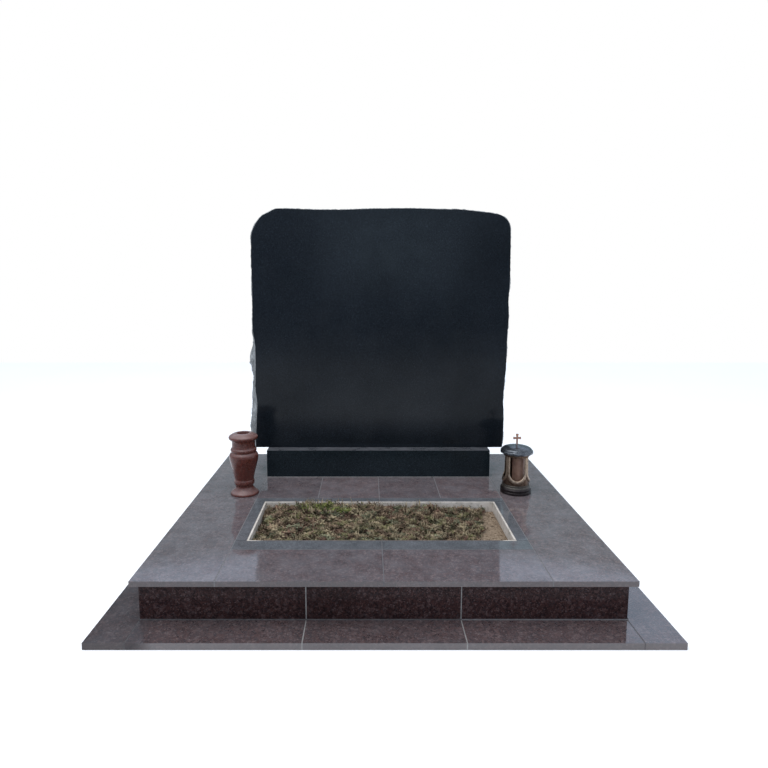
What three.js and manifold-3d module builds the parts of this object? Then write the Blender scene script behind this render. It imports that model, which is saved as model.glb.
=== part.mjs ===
// A family grave memorial: a black granite headstone with rock-pitched edges on a low base,
// standing on a tiled granite kerb and platform with a planted bed, a stone vase and a grave lantern.
// Units are millimetres. +Z is up and -Y is the front. The origin is at the middle of the underside.

import * as THREE from 'three';
import { mergeVertices } from 'three/addons/utils/BufferGeometryUtils.js';
import Module from 'manifold-3d';

const wasm = await Module();
wasm.setup();

// Clearances
const REST_GAP = 0.3; // air between two pieces that rest against each other
const JOINT = 4; // mortar joint between neighbouring slabs
const PLANT_GAP = 4; // air between the planting and the wall of the bed

// Granite slabs
const SLAB_LENGTH = 610;
const SLAB_WIDTH = 305;
const SLAB_SLIVER = 60; // no cut slab is as short as this
const COVER_THICKNESS = 21;
const CLADDING_THICKNESS = 21;
const PLATFORM_THICKNESS = 25;

// Kerb, and the platform round its foot
const KERB_WIDTH = 1788;
const KERB_DEPTH = 1567;
const KERB_HEIGHT = 140;
const PLATFORM_MARGIN = 146;
const COVER_OVERHANG = 25;

// Planted bed, set back from the front edge of the cover
const BED_WIDTH = 1124;
const BED_DEPTH = 453;
const BED_SETBACK = 343;
const LINING_THICKNESS = 8; // lip of the concrete that shows round the bed
const LINING_DROP = 1; // the lip stays this far below the cover
const BORDER_FRONT = 80; // dark border strips round the bed
const BORDER_SIDE = 44;
const BORDER_BACK = 44;
const SOIL_DROP = 47; // the soil lies this far below the cover

// Low planting over the soil
const PLANTING_HEIGHT = 28;
const PLANTING_BUMP = 9;
const PLANTING_RIPPLE = 23;
const CLUMP_SETBACK = 66; // from the back of the bed to the middle of the tall clumps
const BARE_END_FRONT = 138; // bare sandy end of the bed, at its front and at its back
const BARE_END_BACK = 40;

// Headstone and its base, standing in front of the back edge of the cover
const BASE_WIDTH = 1223;
const BASE_HEIGHT = 150;
const BASE_DEPTH = 300;
const BASE_TO_BACK_EDGE = 149;
const STONE_WIDTH = 1390;
const STONE_HEIGHT = 1304;
const STONE_THICKNESS = 138;
const STONE_SETBACK = 68; // from the front of the base
const PITCH_BULGE = 8; // the pitched sides stand out between the two faces
const PITCH_TOP_BULGE = 5;
const PITCH_ROUGHNESS = 6;
const CHIP_LENGTH = 47;

// Vase, placed from the left edge of the cover and the front of the base
const VASE_INSET = 234;
const VASE_TO_BASE = 251;
const VASE_HEIGHT = 315;
const VASE_RADIUS = 73;
const VASE_BORE_RADIUS = 29;
const VASE_LIP = 4; // rounding of the bore's edge
const VASE_BORE_DEPTH = 205;
const VASE_BORE_ROUND = 6;

// Grave lantern, placed from the right edge of the cover and the front of the base
const LANTERN_INSET = 218;
const LANTERN_TO_BASE = 228;
const LANTERN_FOOT_RADIUS = 77;
const LANTERN_FOOT_HEIGHT = 47;
const LANTERN_BODY_HEIGHT = 158;
const LANTERN_BODY_FOOT_RADIUS = 66;
const LANTERN_BODY_TOP_RADIUS = 64;
const LANTERN_WALL = 2.5;
const LANTERN_STEP = 3; // ledge round the foot of the body
const WINDOW_STEP = 90; // degrees from the front window to the one on each side, the back being closed
const WINDOW_RIB = 22; // metal left between two windows at the top
const WINDOW_SILL = 26; // metal left below and above each window
const WINDOW_HEAD = 12;
const WINDOW_TURN = 9; // degrees from the front towards the left
const GLASS_RADIUS = 34; // a loose candle glass, a little right of the middle
const GLASS_HEIGHT = 150;
const GLASS_WALL = 2.5;
const GLASS_SHIFT = 14;
const LID_RADIUS = 82;
const LID_HEIGHT = 42;
const LID_WALL = 3;
const CROSS_HEIGHT = 55;
const CROSS_SPAN = 39;
const CROSS_BAR = 8;
const CROSS_THICKNESS = 5;

// Front outline of the headstone. Its sides are hollows and swells left by the pitching tool, as
// [share of the height, swell], its top is [share of half the width, drop], and its two corners are
// [inset from the side, drop], the left one a long worn curve and the right one a short one.
const LEFT_SIDE = [
  [0, -13], [0.045, -13], [0.12, -20], [0.197, -24], [0.258, -17], [0.352, -21],
  [0.441, -20], [0.512, -10], [0.694, -12], [0.8, -10], [0.881, -14],
];
const LEFT_CORNER = [[18, 123], [38, 81], [71, 40], [107, 21], [148, 2]];
const TOP = [
  [-0.75, 0], [-0.66, 2], [-0.48, 6], [-0.295, 7], [-0.11, 3],
  [0.04, 1], [0.255, 0], [0.47, 4], [0.62, 5], [0.745, 15], [0.85, 22],
];
const RIGHT_CORNER = [[50, 33], [20, 48], [1, 74], [-9, 113]];
const RIGHT_SIDE = [
  [0.849, 12], [0.711, 14], [0.637, 10], [0.554, 14], [0.47, 8], [0.411, 9],
  [0.343, 7], [0.275, 0], [0.215, -3], [0.102, 2], [0.032, 0], [0, -4],
];

// Knobs of rough stone on the left side, as [height of the middle, how far each stands out, reach]
const KNOBS = [[489, 33, 70], [250, 14, 220], [120, 25, 150]];

// Tall clumps of plants along the back of the bed, as [share of its width from the middle, rise, radius]
const CLUMPS = [[-0.27, 54, 130], [-0.06, 25, 140], [0.18, 14, 100], [-0.45, 12, 90]];

// Vase outside from the foot to the rim, as [share of its radius, share of its height]
const VASE_FOOT = [[0.96, 0], [0.965, 0.018], [0.9, 0.036], [0.79, 0.058], [0.68, 0.086], [0.6, 0.114]];
const VASE_BEAD = [[0.6, 0.157], [0.66, 0.176], [0.69, 0.2], [0.67, 0.229]];
const VASE_BODY = [[0.69, 0.295], [0.77, 0.381], [0.86, 0.457], [0.95, 0.543], [1, 0.61], [0.98, 0.648]];
const VASE_RING = [[0.87, 0.681], [0.85, 0.695], [0.88, 0.71], [0.88, 0.733]];
const VASE_NECK = [[0.81, 0.762], [0.785, 0.79], [0.785, 0.868]];
const VASE_RIM = [
  [0.86, 0.895], [0.97, 0.907], [1, 0.926], [0.98, 0.944], [0.86, 0.967], [0.68, 0.988], [0.52, 1],
];

// Outside of the lantern's lid from its edge to its button, as [share of its radius, share of its height]
const LID_DOME = [[1, 0.07], [1, 0.3], [0.95, 0.47], [0.82, 0.65], [0.58, 0.79], [0.3, 0.88], [0.12, 0.92]];

// Derived planes and lines
const platformWidth = KERB_WIDTH + 2 * PLATFORM_MARGIN;
const platformDepth = KERB_DEPTH + 2 * PLATFORM_MARGIN;
const coverWidth = KERB_WIDTH + 2 * COVER_OVERHANG;
const coverDepth = KERB_DEPTH + 2 * COVER_OVERHANG;
const coverFront = -coverDepth / 2;
const coverBack = coverDepth / 2;
const kerbTop = PLATFORM_THICKNESS + KERB_HEIGHT;
const coverTop = kerbTop + COVER_THICKNESS;
const baseTop = coverTop + BASE_HEIGHT;
const baseFront = coverBack - BASE_TO_BACK_EDGE - BASE_DEPTH;
const bedFront = coverFront + BED_SETBACK;
const bedBack = bedFront + BED_DEPTH;
const soilTop = coverTop - SOIL_DROP;

// Joint lines between the border strips and the cover
const borderSideLine = BED_WIDTH / 2 + BORDER_SIDE + JOINT;
const borderFrontLine = bedFront - BORDER_FRONT - JOINT / 2;
const borderBackLine = bedBack + BORDER_BACK + JOINT / 2;

const stone = (color, roughness) => new THREE.MeshStandardMaterial({ color, roughness, metalness: 0 });
const metal = (color, roughness) => new THREE.MeshStandardMaterial({ color, roughness, metalness: 1 });
const FINISH = {
  blackGranite: () => stone(0x16191d, 0.12),
  brownGranite: () => stone(0x46383a, 0.2),
  greyGranite: () => stone(0x3b4147, 0.2),
  redGranite: () => stone(0x6a2f28, 0.25),
  concrete: () => stone(0xb9b4a4, 0.9),
  soil: () => stone(0x8a7355, 1),
  plants: () => stone(0x6b6646, 1),
  bronze: () => metal(0x6d5547, 0.4),
  darkMetal: () => metal(0x2a2b31, 0.35),
  gilt: () => metal(0x8c6a55, 0.35),
  glass: () => new THREE.MeshStandardMaterial({
    color: 0x7d5f58, roughness: 0.15, metalness: 0, transparent: true, opacity: 0.6,
  }),
};

const memorial = new THREE.Group();

function addPiece(name, geometry, material, parent = memorial) {
  const mesh = new THREE.Mesh(geometry, material);
  mesh.name = name;
  parent.add(mesh);
  return mesh;
}

// A block between two corners. Its underside is lifted by the gap of a resting piece.
function addBlock(name, [x0, x1], [y0, y1], [z0, z1], material) {
  const foot = z0 > 0 ? z0 + REST_GAP : z0;
  const mesh = addPiece(name, new THREE.BoxGeometry(x1 - x0, y1 - y0, z1 - foot), material);
  mesh.position.set((x0 + x1) / 2, (y0 + y1) / 2, (foot + z1) / 2);
  return mesh;
}

// Lengths of slab between two ends, parted by a mortar joint at each line.
function slabRun(from, to, lines) {
  const ends = [from, ...lines, to];
  return ends.slice(1).map((end, i) => [
    ends[i] + (i > 0 ? JOINT / 2 : 0),
    end - (i < lines.length ? JOINT / 2 : 0),
  ]);
}

// Joint lines of whole slabs laid from one end, with a cut one at the other end. Where that one
// would be a sliver, it shares its run equally with the slab before it.
function wholeSlabLines(from, to) {
  const lines = [];
  for (let line = from + SLAB_LENGTH; line < to - JOINT; line += SLAB_LENGTH) {
    lines.push(line);
  }
  const last = lines.length - 1;
  if (last >= 0 && to - lines[last] < SLAB_SLIVER) {
    lines[last] = (lines[last] - SLAB_LENGTH + to) / 2;
  }
  return lines;
}

// Joint lines of a row with a whole slab at each end and a cut one in the middle.
function endSlabLines(from, to) {
  const middle = to - from - 2 * SLAB_LENGTH;
  return middle > JOINT ? [from + SLAB_LENGTH, to - SLAB_LENGTH] : [(from + to) / 2];
}

// Joint lines of equal slabs, each about one slab width wide.
function equalSlabLines(from, to) {
  const count = Math.round((to - from) / SLAB_WIDTH);
  return Array.from({ length: count - 1 }, (_, i) => from + ((to - from) * (i + 1)) / count);
}

// A closed surface without doubled points and without the flat triangles on a turned shape's axis.
function weld(geometry) {
  geometry.deleteAttribute('normal');
  geometry.deleteAttribute('uv');
  const welded = mergeVertices(geometry, 1e-4);
  const corners = welded.index.array;
  const kept = [];
  for (let i = 0; i < corners.length; i += 3) {
    const [a, b, c] = corners.slice(i, i + 3);
    if (a !== b && b !== c && c !== a) {
      kept.push(a, b, c);
    }
  }
  welded.setIndex(kept);
  return welded;
}

function indexed(positions, corners) {
  const geometry = new THREE.BufferGeometry();
  geometry.setAttribute('position', new THREE.Float32BufferAttribute(positions, 3));
  geometry.setIndex(corners);
  geometry.computeVertexNormals();
  return geometry;
}

function toSolid(geometry) {
  const welded = weld(geometry);
  return new wasm.Manifold(new wasm.Mesh({
    numProp: 3,
    vertProperties: new Float32Array(welded.attributes.position.array),
    triVerts: new Uint32Array(welded.index.array),
  }));
}

function toGeometry(solid) {
  const mesh = solid.getMesh();
  return indexed(Array.from(mesh.vertProperties), Array.from(mesh.triVerts));
}

function boxSolid([x0, x1], [y0, y1], [z0, z1]) {
  const box = new THREE.BoxGeometry(x1 - x0, y1 - y0, z1 - z0);
  return toSolid(box.translate((x0 + x1) / 2, (y0 + y1) / 2, (z0 + z1) / 2));
}

// A shape turned about the vertical axis from [radius, height] points.
function turned(profile, segments) {
  const points = profile.map(([radius, height]) => new THREE.Vector2(radius, height));
  return weld(new THREE.LatheGeometry(points, segments).rotateX(Math.PI / 2));
}

// Platform: slabs round the foot of the kerb, the side rows running the full depth
function addPlatform() {
  const level = [0, PLATFORM_THICKNESS];
  const [halfWidth, halfDepth] = [platformWidth / 2, platformDepth / 2];
  const inner = KERB_WIDTH / 2 + JOINT / 2;
  const front = [-halfDepth, -KERB_DEPTH / 2 - JOINT / 2];
  const back = [KERB_DEPTH / 2 + JOINT / 2, halfDepth];
  const lines = endSlabLines(-KERB_WIDTH / 2, KERB_WIDTH / 2);
  slabRun(-inner + JOINT, inner - JOINT, lines).forEach((run, i) => {
    addBlock(`platform_front_${i + 1}`, run, front, level, FINISH.brownGranite());
    addBlock(`platform_back_${i + 1}`, run, back, level, FINISH.brownGranite());
  });
  slabRun(-halfDepth, halfDepth, wholeSlabLines(-halfDepth, halfDepth)).forEach((run, i) => {
    addBlock(`platform_left_${i + 1}`, [-halfWidth, -inner], run, level, FINISH.brownGranite());
    addBlock(`platform_right_${i + 1}`, [inner, halfWidth], run, level, FINISH.brownGranite());
  });
}

// Concrete kerb: a footing level with the platform, the kerb on it and the lip round the bed
function addConcreteKerb() {
  const [halfWidth, halfDepth] = [KERB_WIDTH / 2, KERB_DEPTH / 2];
  const inset = CLADDING_THICKNESS + REST_GAP;
  const footing = boxSolid([-halfWidth, halfWidth], [-halfDepth, halfDepth], [0, PLATFORM_THICKNESS]);
  const kerb = boxSolid(
    [-halfWidth + inset, halfWidth - inset],
    [-halfDepth + inset, halfDepth - inset],
    [0, kerbTop],
  );
  const bedHalf = BED_WIDTH / 2;
  const lip = boxSolid([-bedHalf, bedHalf], [bedFront, bedBack], [0, coverTop - LINING_DROP]);
  const pit = boxSolid(
    [-bedHalf + LINING_THICKNESS, bedHalf - LINING_THICKNESS],
    [bedFront + LINING_THICKNESS, bedBack - LINING_THICKNESS],
    [-PLATFORM_THICKNESS, coverTop + COVER_THICKNESS],
  );
  addPiece('concrete_kerb', toGeometry(footing.add(kerb).add(lip).subtract(pit)), FINISH.concrete());
}

// Cladding on the four faces of the kerb, the side rows between the front and back rows
function addCladding() {
  const level = [PLATFORM_THICKNESS, kerbTop];
  const [halfWidth, halfDepth] = [KERB_WIDTH / 2, KERB_DEPTH / 2];
  const front = [-halfDepth, -halfDepth + CLADDING_THICKNESS];
  const back = [halfDepth - CLADDING_THICKNESS, halfDepth];
  slabRun(-halfWidth, halfWidth, endSlabLines(-halfWidth, halfWidth)).forEach((run, i) => {
    addBlock(`kerb_front_${i + 1}`, run, front, level, FINISH.brownGranite());
    addBlock(`kerb_back_${i + 1}`, run, back, level, FINISH.brownGranite());
  });
  const left = [-halfWidth, -halfWidth + CLADDING_THICKNESS];
  const right = [halfWidth - CLADDING_THICKNESS, halfWidth];
  const from = front[1] + REST_GAP;
  const to = back[0] - REST_GAP;
  slabRun(from, to, wholeSlabLines(from, to)).forEach((run, i) => {
    addBlock(`kerb_left_${i + 1}`, left, run, level, FINISH.brownGranite());
    addBlock(`kerb_right_${i + 1}`, right, run, level, FINISH.brownGranite());
  });
}

// Cover: side columns of full depth, the front row, and two rows behind the bed
function addCover() {
  const level = [kerbTop, coverTop];
  const left = [-coverWidth / 2, -borderSideLine - JOINT / 2];
  const right = [borderSideLine + JOINT / 2, coverWidth / 2];
  slabRun(coverFront, coverBack, wholeSlabLines(coverFront, coverBack)).forEach((run, i) => {
    addBlock(`cover_left_${i + 1}`, left, run, level, FINISH.brownGranite());
    addBlock(`cover_right_${i + 1}`, right, run, level, FINISH.brownGranite());
  });
  const inner = [-borderSideLine + JOINT / 2, borderSideLine - JOINT / 2];
  const front = [coverFront, borderFrontLine - JOINT / 2];
  slabRun(...inner, [0]).forEach((run, i) => {
    addBlock(`cover_front_${i + 1}`, run, front, level, FINISH.brownGranite());
  });
  const rearLine = borderBackLine + JOINT + SLAB_WIDTH;
  const back = [borderBackLine + JOINT / 2, rearLine - JOINT / 2];
  const rear = [rearLine + JOINT / 2, coverBack];
  slabRun(...inner, equalSlabLines(-borderSideLine, borderSideLine)).forEach((run, i) => {
    addBlock(`cover_back_${i + 1}`, run, back, level, FINISH.brownGranite());
    addBlock(`cover_rear_${i + 1}`, run, rear, level, FINISH.brownGranite());
  });
}

// Border strips between the cover and the lip of the bed
function addBorder() {
  const level = [kerbTop, coverTop];
  const edge = BED_WIDTH / 2 + REST_GAP;
  const outer = borderSideLine - JOINT / 2;
  const front = [borderFrontLine + JOINT / 2, bedFront - REST_GAP];
  const back = [bedBack + REST_GAP, borderBackLine - JOINT / 2];
  slabRun(-outer, outer, [0]).forEach((run, i) => {
    addBlock(`border_front_${i + 1}`, run, front, level, FINISH.greyGranite());
    addBlock(`border_back_${i + 1}`, run, back, level, FINISH.greyGranite());
  });
  const side = [front[1] + JOINT / 2, back[0] - JOINT / 2];
  addBlock('border_left', [-outer, -edge], side, level, FINISH.greyGranite());
  addBlock('border_right', [edge, outer], side, level, FINISH.greyGranite());
}

// Soil, cut off flat at the ground
function addSoil() {
  const wall = LINING_THICKNESS + REST_GAP;
  const half = BED_WIDTH / 2 - wall;
  addBlock('soil', [-half, half], [bedFront + wall, bedBack - wall], [0, soilTop], FINISH.soil());
}

// Height of the plants over the soil: a bumpy mat with taller clumps along the back
function plantingHeight(x, y) {
  const wave = PLANTING_RIPPLE;
  const bump = Math.sin(x / wave + 1.3) * Math.cos(y / (0.8 * wave));
  const ripple = Math.sin(x / (0.5 * wave) - y / (0.6 * wave));
  const clumps = CLUMPS.reduce((sum, [share, rise, radius]) => {
    const away = Math.hypot(x - share * BED_WIDTH, 1.3 * (y - bedBack + CLUMP_SETBACK)) / radius;
    return sum + rise * Math.exp(-away * away);
  }, 0);
  return PLANTING_HEIGHT + clumps + PLANTING_BUMP * (bump + 0.7 * ripple);
}

function addPlanting() {
  const wall = LINING_THICKNESS + PLANT_GAP;
  const left = -BED_WIDTH / 2 + wall;
  const right = BED_WIDTH / 2 - wall;
  const [front, back] = [bedFront + wall, bedBack - wall];
  const [columns, rows] = [32, 12];
  const positions = [];
  for (const layer of [0, 1]) {
    for (let j = 0; j <= rows; j += 1) {
      const v = j / rows;
      const y = front + (back - front) * v;
      const end = right - (BARE_END_FRONT + (BARE_END_BACK - BARE_END_FRONT) * v);
      for (let i = 0; i <= columns; i += 1) {
        const u = i / columns;
        const x = left + (end - left) * u;
        const shoulder = Math.min(1, 12 * Math.min(u, 1 - u) + 0.45, 8 * Math.min(v, 1 - v) + 0.45);
        positions.push(x, y, soilTop + REST_GAP + layer * plantingHeight(x, y) * shoulder);
      }
    }
  }
  const width = columns + 1;
  const top = width * (rows + 1);
  const corners = [];
  const quad = (a, b, c, d) => corners.push(a, b, c, a, c, d);
  for (let j = 0; j < rows; j += 1) {
    const near = j * width;
    const far = near + columns;
    for (let i = near; i < far; i += 1) {
      quad(i, i + width, i + width + 1, i + 1);
      quad(top + i, top + i + 1, top + i + width + 1, top + i + width);
    }
    quad(near + width, near, top + near, top + near + width);
    quad(far, far + width, top + far + width, top + far);
  }
  for (let i = 0; i < columns; i += 1) {
    const far = rows * width + i;
    quad(i, i + 1, top + i + 1, top + i);
    quad(far + 1, far, top + far, top + far + 1);
  }
  addPiece('ground_cover', indexed(positions, corners), FINISH.plants());
}

// Points of the headstone's front outline, from the foot of its left side round to the right one.
function headstoneOutline() {
  const half = STONE_WIDTH / 2;
  return [
    ...LEFT_SIDE.map(([share, swell]) => [-half - swell, share * STONE_HEIGHT]),
    ...LEFT_CORNER.map(([inset, drop]) => [-half + inset, STONE_HEIGHT - drop]),
    ...TOP.map(([share, drop]) => [share * half, STONE_HEIGHT - drop]),
    ...RIGHT_CORNER.map(([inset, drop]) => [half - inset, STONE_HEIGHT - drop]),
    ...RIGHT_SIDE.map(([share, swell]) => [half + swell, share * STONE_HEIGHT]),
  ].map(([x, z]) => new THREE.Vector2(x, z));
}

// How far the pitched edge stands out of the front outline, at a share of the way to the back face.
function pitchedEdge(point, steepness, share) {
  const crown = Math.sin(Math.PI * share) ** 0.7;
  const chip = Math.sin(point.y / CHIP_LENGTH + 4 * share);
  const flake = Math.sin((point.x + point.y) / (0.6 * CHIP_LENGTH) + 9 * share);
  const bulge = PITCH_TOP_BULGE + (PITCH_BULGE - PITCH_TOP_BULGE) * steepness;
  const rough = (PITCH_ROUGHNESS * (chip + flake) * (0.3 + 0.7 * steepness)) / 2;
  const knobs = KNOBS.map(([height, out, reach]) => out * Math.exp(-(((point.y - height) / reach) ** 2)));
  const knob = point.x < 0 ? knobs.reduce((sum, out) => sum + out, 0) : 0;
  return crown * (bulge + rough + knob);
}

function addHeadstone() {
  const steps = 96;
  const around = new THREE.SplineCurve(headstoneOutline()).getSpacedPoints(steps);
  const slopes = around.map((_, i) => {
    const before = around[Math.max(i - 1, 0)];
    const after = around[Math.min(i + 1, steps)];
    return after.clone().sub(before).normalize();
  });
  const stations = [0, 0.06, 0.22, 0.42, 0.62, 0.82, 0.95, 1];
  const positions = [];
  for (const share of stations) {
    around.forEach((point, i) => {
      const out = pitchedEdge(point, Math.abs(slopes[i].y), share);
      const onBase = i === 0 || i === steps;
      const z = onBase ? 0 : Math.max(0, point.y + slopes[i].x * out);
      positions.push(point.x - slopes[i].y * out, share * STONE_THICKNESS, z);
    });
  }
  const width = steps + 1;
  const corners = [];
  const quad = (a, b, c, d) => corners.push(a, b, c, a, c, d);
  for (let s = 0; s < stations.length - 1; s += 1) {
    const near = s * width;
    const far = near + width;
    for (let i = 0; i < steps; i += 1) {
      quad(near + i + 1, far + i + 1, far + i, near + i);
    }
    quad(far + steps, near + steps, near, far);
  }
  const last = (stations.length - 1) * width;
  for (const [a, b, c] of THREE.ShapeUtils.triangulateShape(around, [])) {
    corners.push(a, b, c);
    corners.push(last + a, last + c, last + b);
  }
  const mesh = addPiece('headstone', indexed(positions, corners), FINISH.blackGranite());
  mesh.position.set(0, baseFront + STONE_SETBACK, baseTop + REST_GAP);
}

function addHeadstoneBase() {
  const half = BASE_WIDTH / 2;
  const run = [baseFront, baseFront + BASE_DEPTH];
  addBlock('headstone_base', [-half, half], run, [coverTop, baseTop], FINISH.blackGranite());
}

// Turned vase with a broad domed rim round a blind bore
function addVase() {
  const outside = [...VASE_FOOT, ...VASE_BEAD, ...VASE_BODY, ...VASE_RING, ...VASE_NECK, ...VASE_RIM]
    .map(([radius, height]) => [radius * VASE_RADIUS, height * VASE_HEIGHT]);
  const bore = VASE_BORE_RADIUS;
  const floor = VASE_HEIGHT - VASE_BORE_DEPTH;
  const profile = [
    [0, 0],
    ...outside,
    [bore + VASE_LIP, VASE_HEIGHT],
    [bore, VASE_HEIGHT - VASE_LIP],
    [bore, floor + VASE_BORE_ROUND],
    [bore - VASE_BORE_ROUND, floor],
    [0, floor],
  ];
  const mesh = addPiece('vase', turned(profile, 36), FINISH.redGranite());
  mesh.position.set(-coverWidth / 2 + VASE_INSET, baseFront - VASE_TO_BASE, coverTop + REST_GAP);
}

// Outline of a lantern window, pushed outwards from the axis: straight sides and a half-round sill
function windowCutter() {
  const radius = LANTERN_BODY_TOP_RADIUS;
  const reach = THREE.MathUtils.degToRad(WINDOW_STEP / 2) - Math.asin(WINDOW_RIB / 2 / radius);
  const half = radius * Math.sin(reach);
  const head = LANTERN_BODY_HEIGHT - WINDOW_HEAD;
  const shape = new THREE.Shape();
  shape.moveTo(-half, head);
  shape.lineTo(-half, WINDOW_SILL + half);
  shape.absarc(0, WINDOW_SILL + half, half, Math.PI, 2 * Math.PI, false);
  shape.lineTo(half, head);
  shape.closePath();
  const depth = LANTERN_BODY_FOOT_RADIUS * 1.5;
  const cutter = new THREE.ExtrudeGeometry(shape, { depth, bevelEnabled: false, curveSegments: 10 });
  return cutter.rotateX(Math.PI / 2);
}

function addLanternBase(lantern) {
  const foot = LANTERN_FOOT_RADIUS;
  const top = LANTERN_FOOT_HEIGHT;
  const seat = LANTERN_BODY_FOOT_RADIUS + LANTERN_STEP;
  addPiece('lantern_base', turned([
    [0, 0], [foot, 0], [foot, top * 0.55], [foot - LANTERN_STEP, top * 0.65],
    [seat + LANTERN_STEP, top * 0.72], [seat, top * 0.8], [seat, top], [0, top],
  ], 36), FINISH.darkMetal(), lantern);
}

function addLanternBody(lantern) {
  const [foot, top] = [LANTERN_BODY_FOOT_RADIUS, LANTERN_BODY_TOP_RADIUS];
  let body = toSolid(turned([
    [foot - LANTERN_WALL, 0], [foot, 0], [top, LANTERN_BODY_HEIGHT],
    [top - LANTERN_WALL, LANTERN_BODY_HEIGHT], [foot - LANTERN_WALL, 0],
  ], 48));
  for (const side of [-1, 0, 1]) {
    const turn = THREE.MathUtils.degToRad(side * WINDOW_STEP - WINDOW_TURN);
    body = body.subtract(toSolid(windowCutter().rotateZ(turn)));
  }
  const mesh = addPiece('lantern_body', toGeometry(body), FINISH.bronze(), lantern);
  mesh.position.z = LANTERN_FOOT_HEIGHT + REST_GAP;
}

function addLanternGlass(lantern) {
  const inside = GLASS_RADIUS - GLASS_WALL;
  const mesh = addPiece('lantern_glass', turned([
    [inside, 0], [GLASS_RADIUS, 0], [GLASS_RADIUS, GLASS_HEIGHT], [inside, GLASS_HEIGHT], [inside, 0],
  ], 36), FINISH.glass(), lantern);
  mesh.position.set(GLASS_SHIFT, 0, LANTERN_FOOT_HEIGHT + REST_GAP);
}

// Domed lid, hollow below, with a flat flange on the top of the body
function addLanternLid(lantern, foot) {
  const flange = LANTERN_BODY_TOP_RADIUS - 2 * LANTERN_WALL;
  const button = CROSS_BAR;
  const mesh = addPiece('lantern_lid', turned([
    [0, LID_HEIGHT * 0.88 - LID_WALL],
    [flange * 0.4, LID_HEIGHT * 0.82 - LID_WALL],
    [flange * 0.8, LID_HEIGHT * 0.7 - LID_WALL],
    [flange, LID_HEIGHT * 0.4],
    [flange, 0],
    [LID_RADIUS - LID_WALL, 0],
    ...LID_DOME.map(([radius, height]) => [radius * LID_RADIUS, height * LID_HEIGHT]),
    [button, LID_HEIGHT],
    [0, LID_HEIGHT],
  ], 36), FINISH.darkMetal(), lantern);
  mesh.position.z = foot;
}

// Latin cross with flared ends
function addLanternCross(lantern, foot) {
  const bar = CROSS_BAR / 2;
  const flare = bar * 1.7;
  const arm = CROSS_HEIGHT * 0.6;
  const right = [
    [bar, 0], [bar, arm - bar], [CROSS_SPAN / 2, arm - flare], [CROSS_SPAN / 2, arm + flare],
    [bar, arm + bar], [flare, CROSS_HEIGHT],
  ];
  const left = right.map(([x, z]) => [-x, z]).reverse();
  const shape = new THREE.Shape([...right, ...left].map(([x, z]) => new THREE.Vector2(x, z)));
  const geometry = new THREE.ExtrudeGeometry(shape, { depth: CROSS_THICKNESS, bevelEnabled: false });
  geometry.rotateX(Math.PI / 2).translate(0, CROSS_THICKNESS / 2, 0);
  const mesh = addPiece('lantern_cross', geometry, FINISH.gilt(), lantern);
  mesh.position.z = foot;
}

function addLantern() {
  const lantern = new THREE.Group();
  lantern.position.set(
    coverWidth / 2 - LANTERN_INSET,
    baseFront - LANTERN_TO_BASE,
    coverTop + REST_GAP,
  );
  memorial.add(lantern);
  const lidFoot = LANTERN_FOOT_HEIGHT + LANTERN_BODY_HEIGHT + 2 * REST_GAP;
  addLanternBase(lantern);
  addLanternBody(lantern);
  addLanternGlass(lantern);
  addLanternLid(lantern, lidFoot);
  addLanternCross(lantern, lidFoot + LID_HEIGHT + REST_GAP);
}

addPlatform();
addConcreteKerb();
addCladding();
addCover();
addBorder();
addSoil();
addPlanting();
addHeadstoneBase();
addHeadstone();
addVase();
addLantern();

export default memorial;
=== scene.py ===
"""A family grave: a black headstone on a tiled granite kerb, with a planted bed, a vase and a lantern.

Everything is in metres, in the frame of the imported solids: +X right, +Y back, +Z up, origin at the
middle of the underside.
"""

import math
import random

import bpy
import numpy as np
from mathutils import Matrix, Vector, noise
from mathutils.bvhtree import BVHTree


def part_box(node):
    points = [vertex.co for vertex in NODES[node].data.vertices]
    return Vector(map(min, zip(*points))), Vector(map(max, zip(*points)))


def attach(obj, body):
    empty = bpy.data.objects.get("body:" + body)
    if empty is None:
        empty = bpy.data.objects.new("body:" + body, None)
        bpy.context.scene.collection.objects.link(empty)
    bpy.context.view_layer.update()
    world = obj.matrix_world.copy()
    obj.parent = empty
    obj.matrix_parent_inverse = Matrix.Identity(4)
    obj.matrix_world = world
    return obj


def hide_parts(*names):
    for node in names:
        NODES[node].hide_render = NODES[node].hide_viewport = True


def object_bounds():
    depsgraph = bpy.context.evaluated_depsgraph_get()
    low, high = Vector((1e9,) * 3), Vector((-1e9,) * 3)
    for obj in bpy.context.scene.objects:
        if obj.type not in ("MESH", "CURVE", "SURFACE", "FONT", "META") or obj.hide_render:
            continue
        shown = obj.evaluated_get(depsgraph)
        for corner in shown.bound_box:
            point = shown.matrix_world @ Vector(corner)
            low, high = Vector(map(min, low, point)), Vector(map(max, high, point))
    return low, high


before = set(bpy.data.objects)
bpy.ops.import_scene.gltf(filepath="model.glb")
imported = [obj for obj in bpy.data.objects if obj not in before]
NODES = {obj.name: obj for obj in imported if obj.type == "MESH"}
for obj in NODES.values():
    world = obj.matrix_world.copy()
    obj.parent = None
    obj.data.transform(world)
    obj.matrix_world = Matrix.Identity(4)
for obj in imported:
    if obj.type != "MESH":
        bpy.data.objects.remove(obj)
cad_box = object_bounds()
ROOT = "root"
MM = 0.001


# Camera and studio

PHOTO_SIZE = 768
FOCAL_PX = 602.4
AXIS_PX = (367.6, 361.5)
SENSOR = 36.0
CAMERA_PITCH = math.radians(7.54)
CAMERA_X = -0.0587
CAMERA_HEIGHT = 1.2538
CAMERA_TO_PLATFORM = 1.9211


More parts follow.
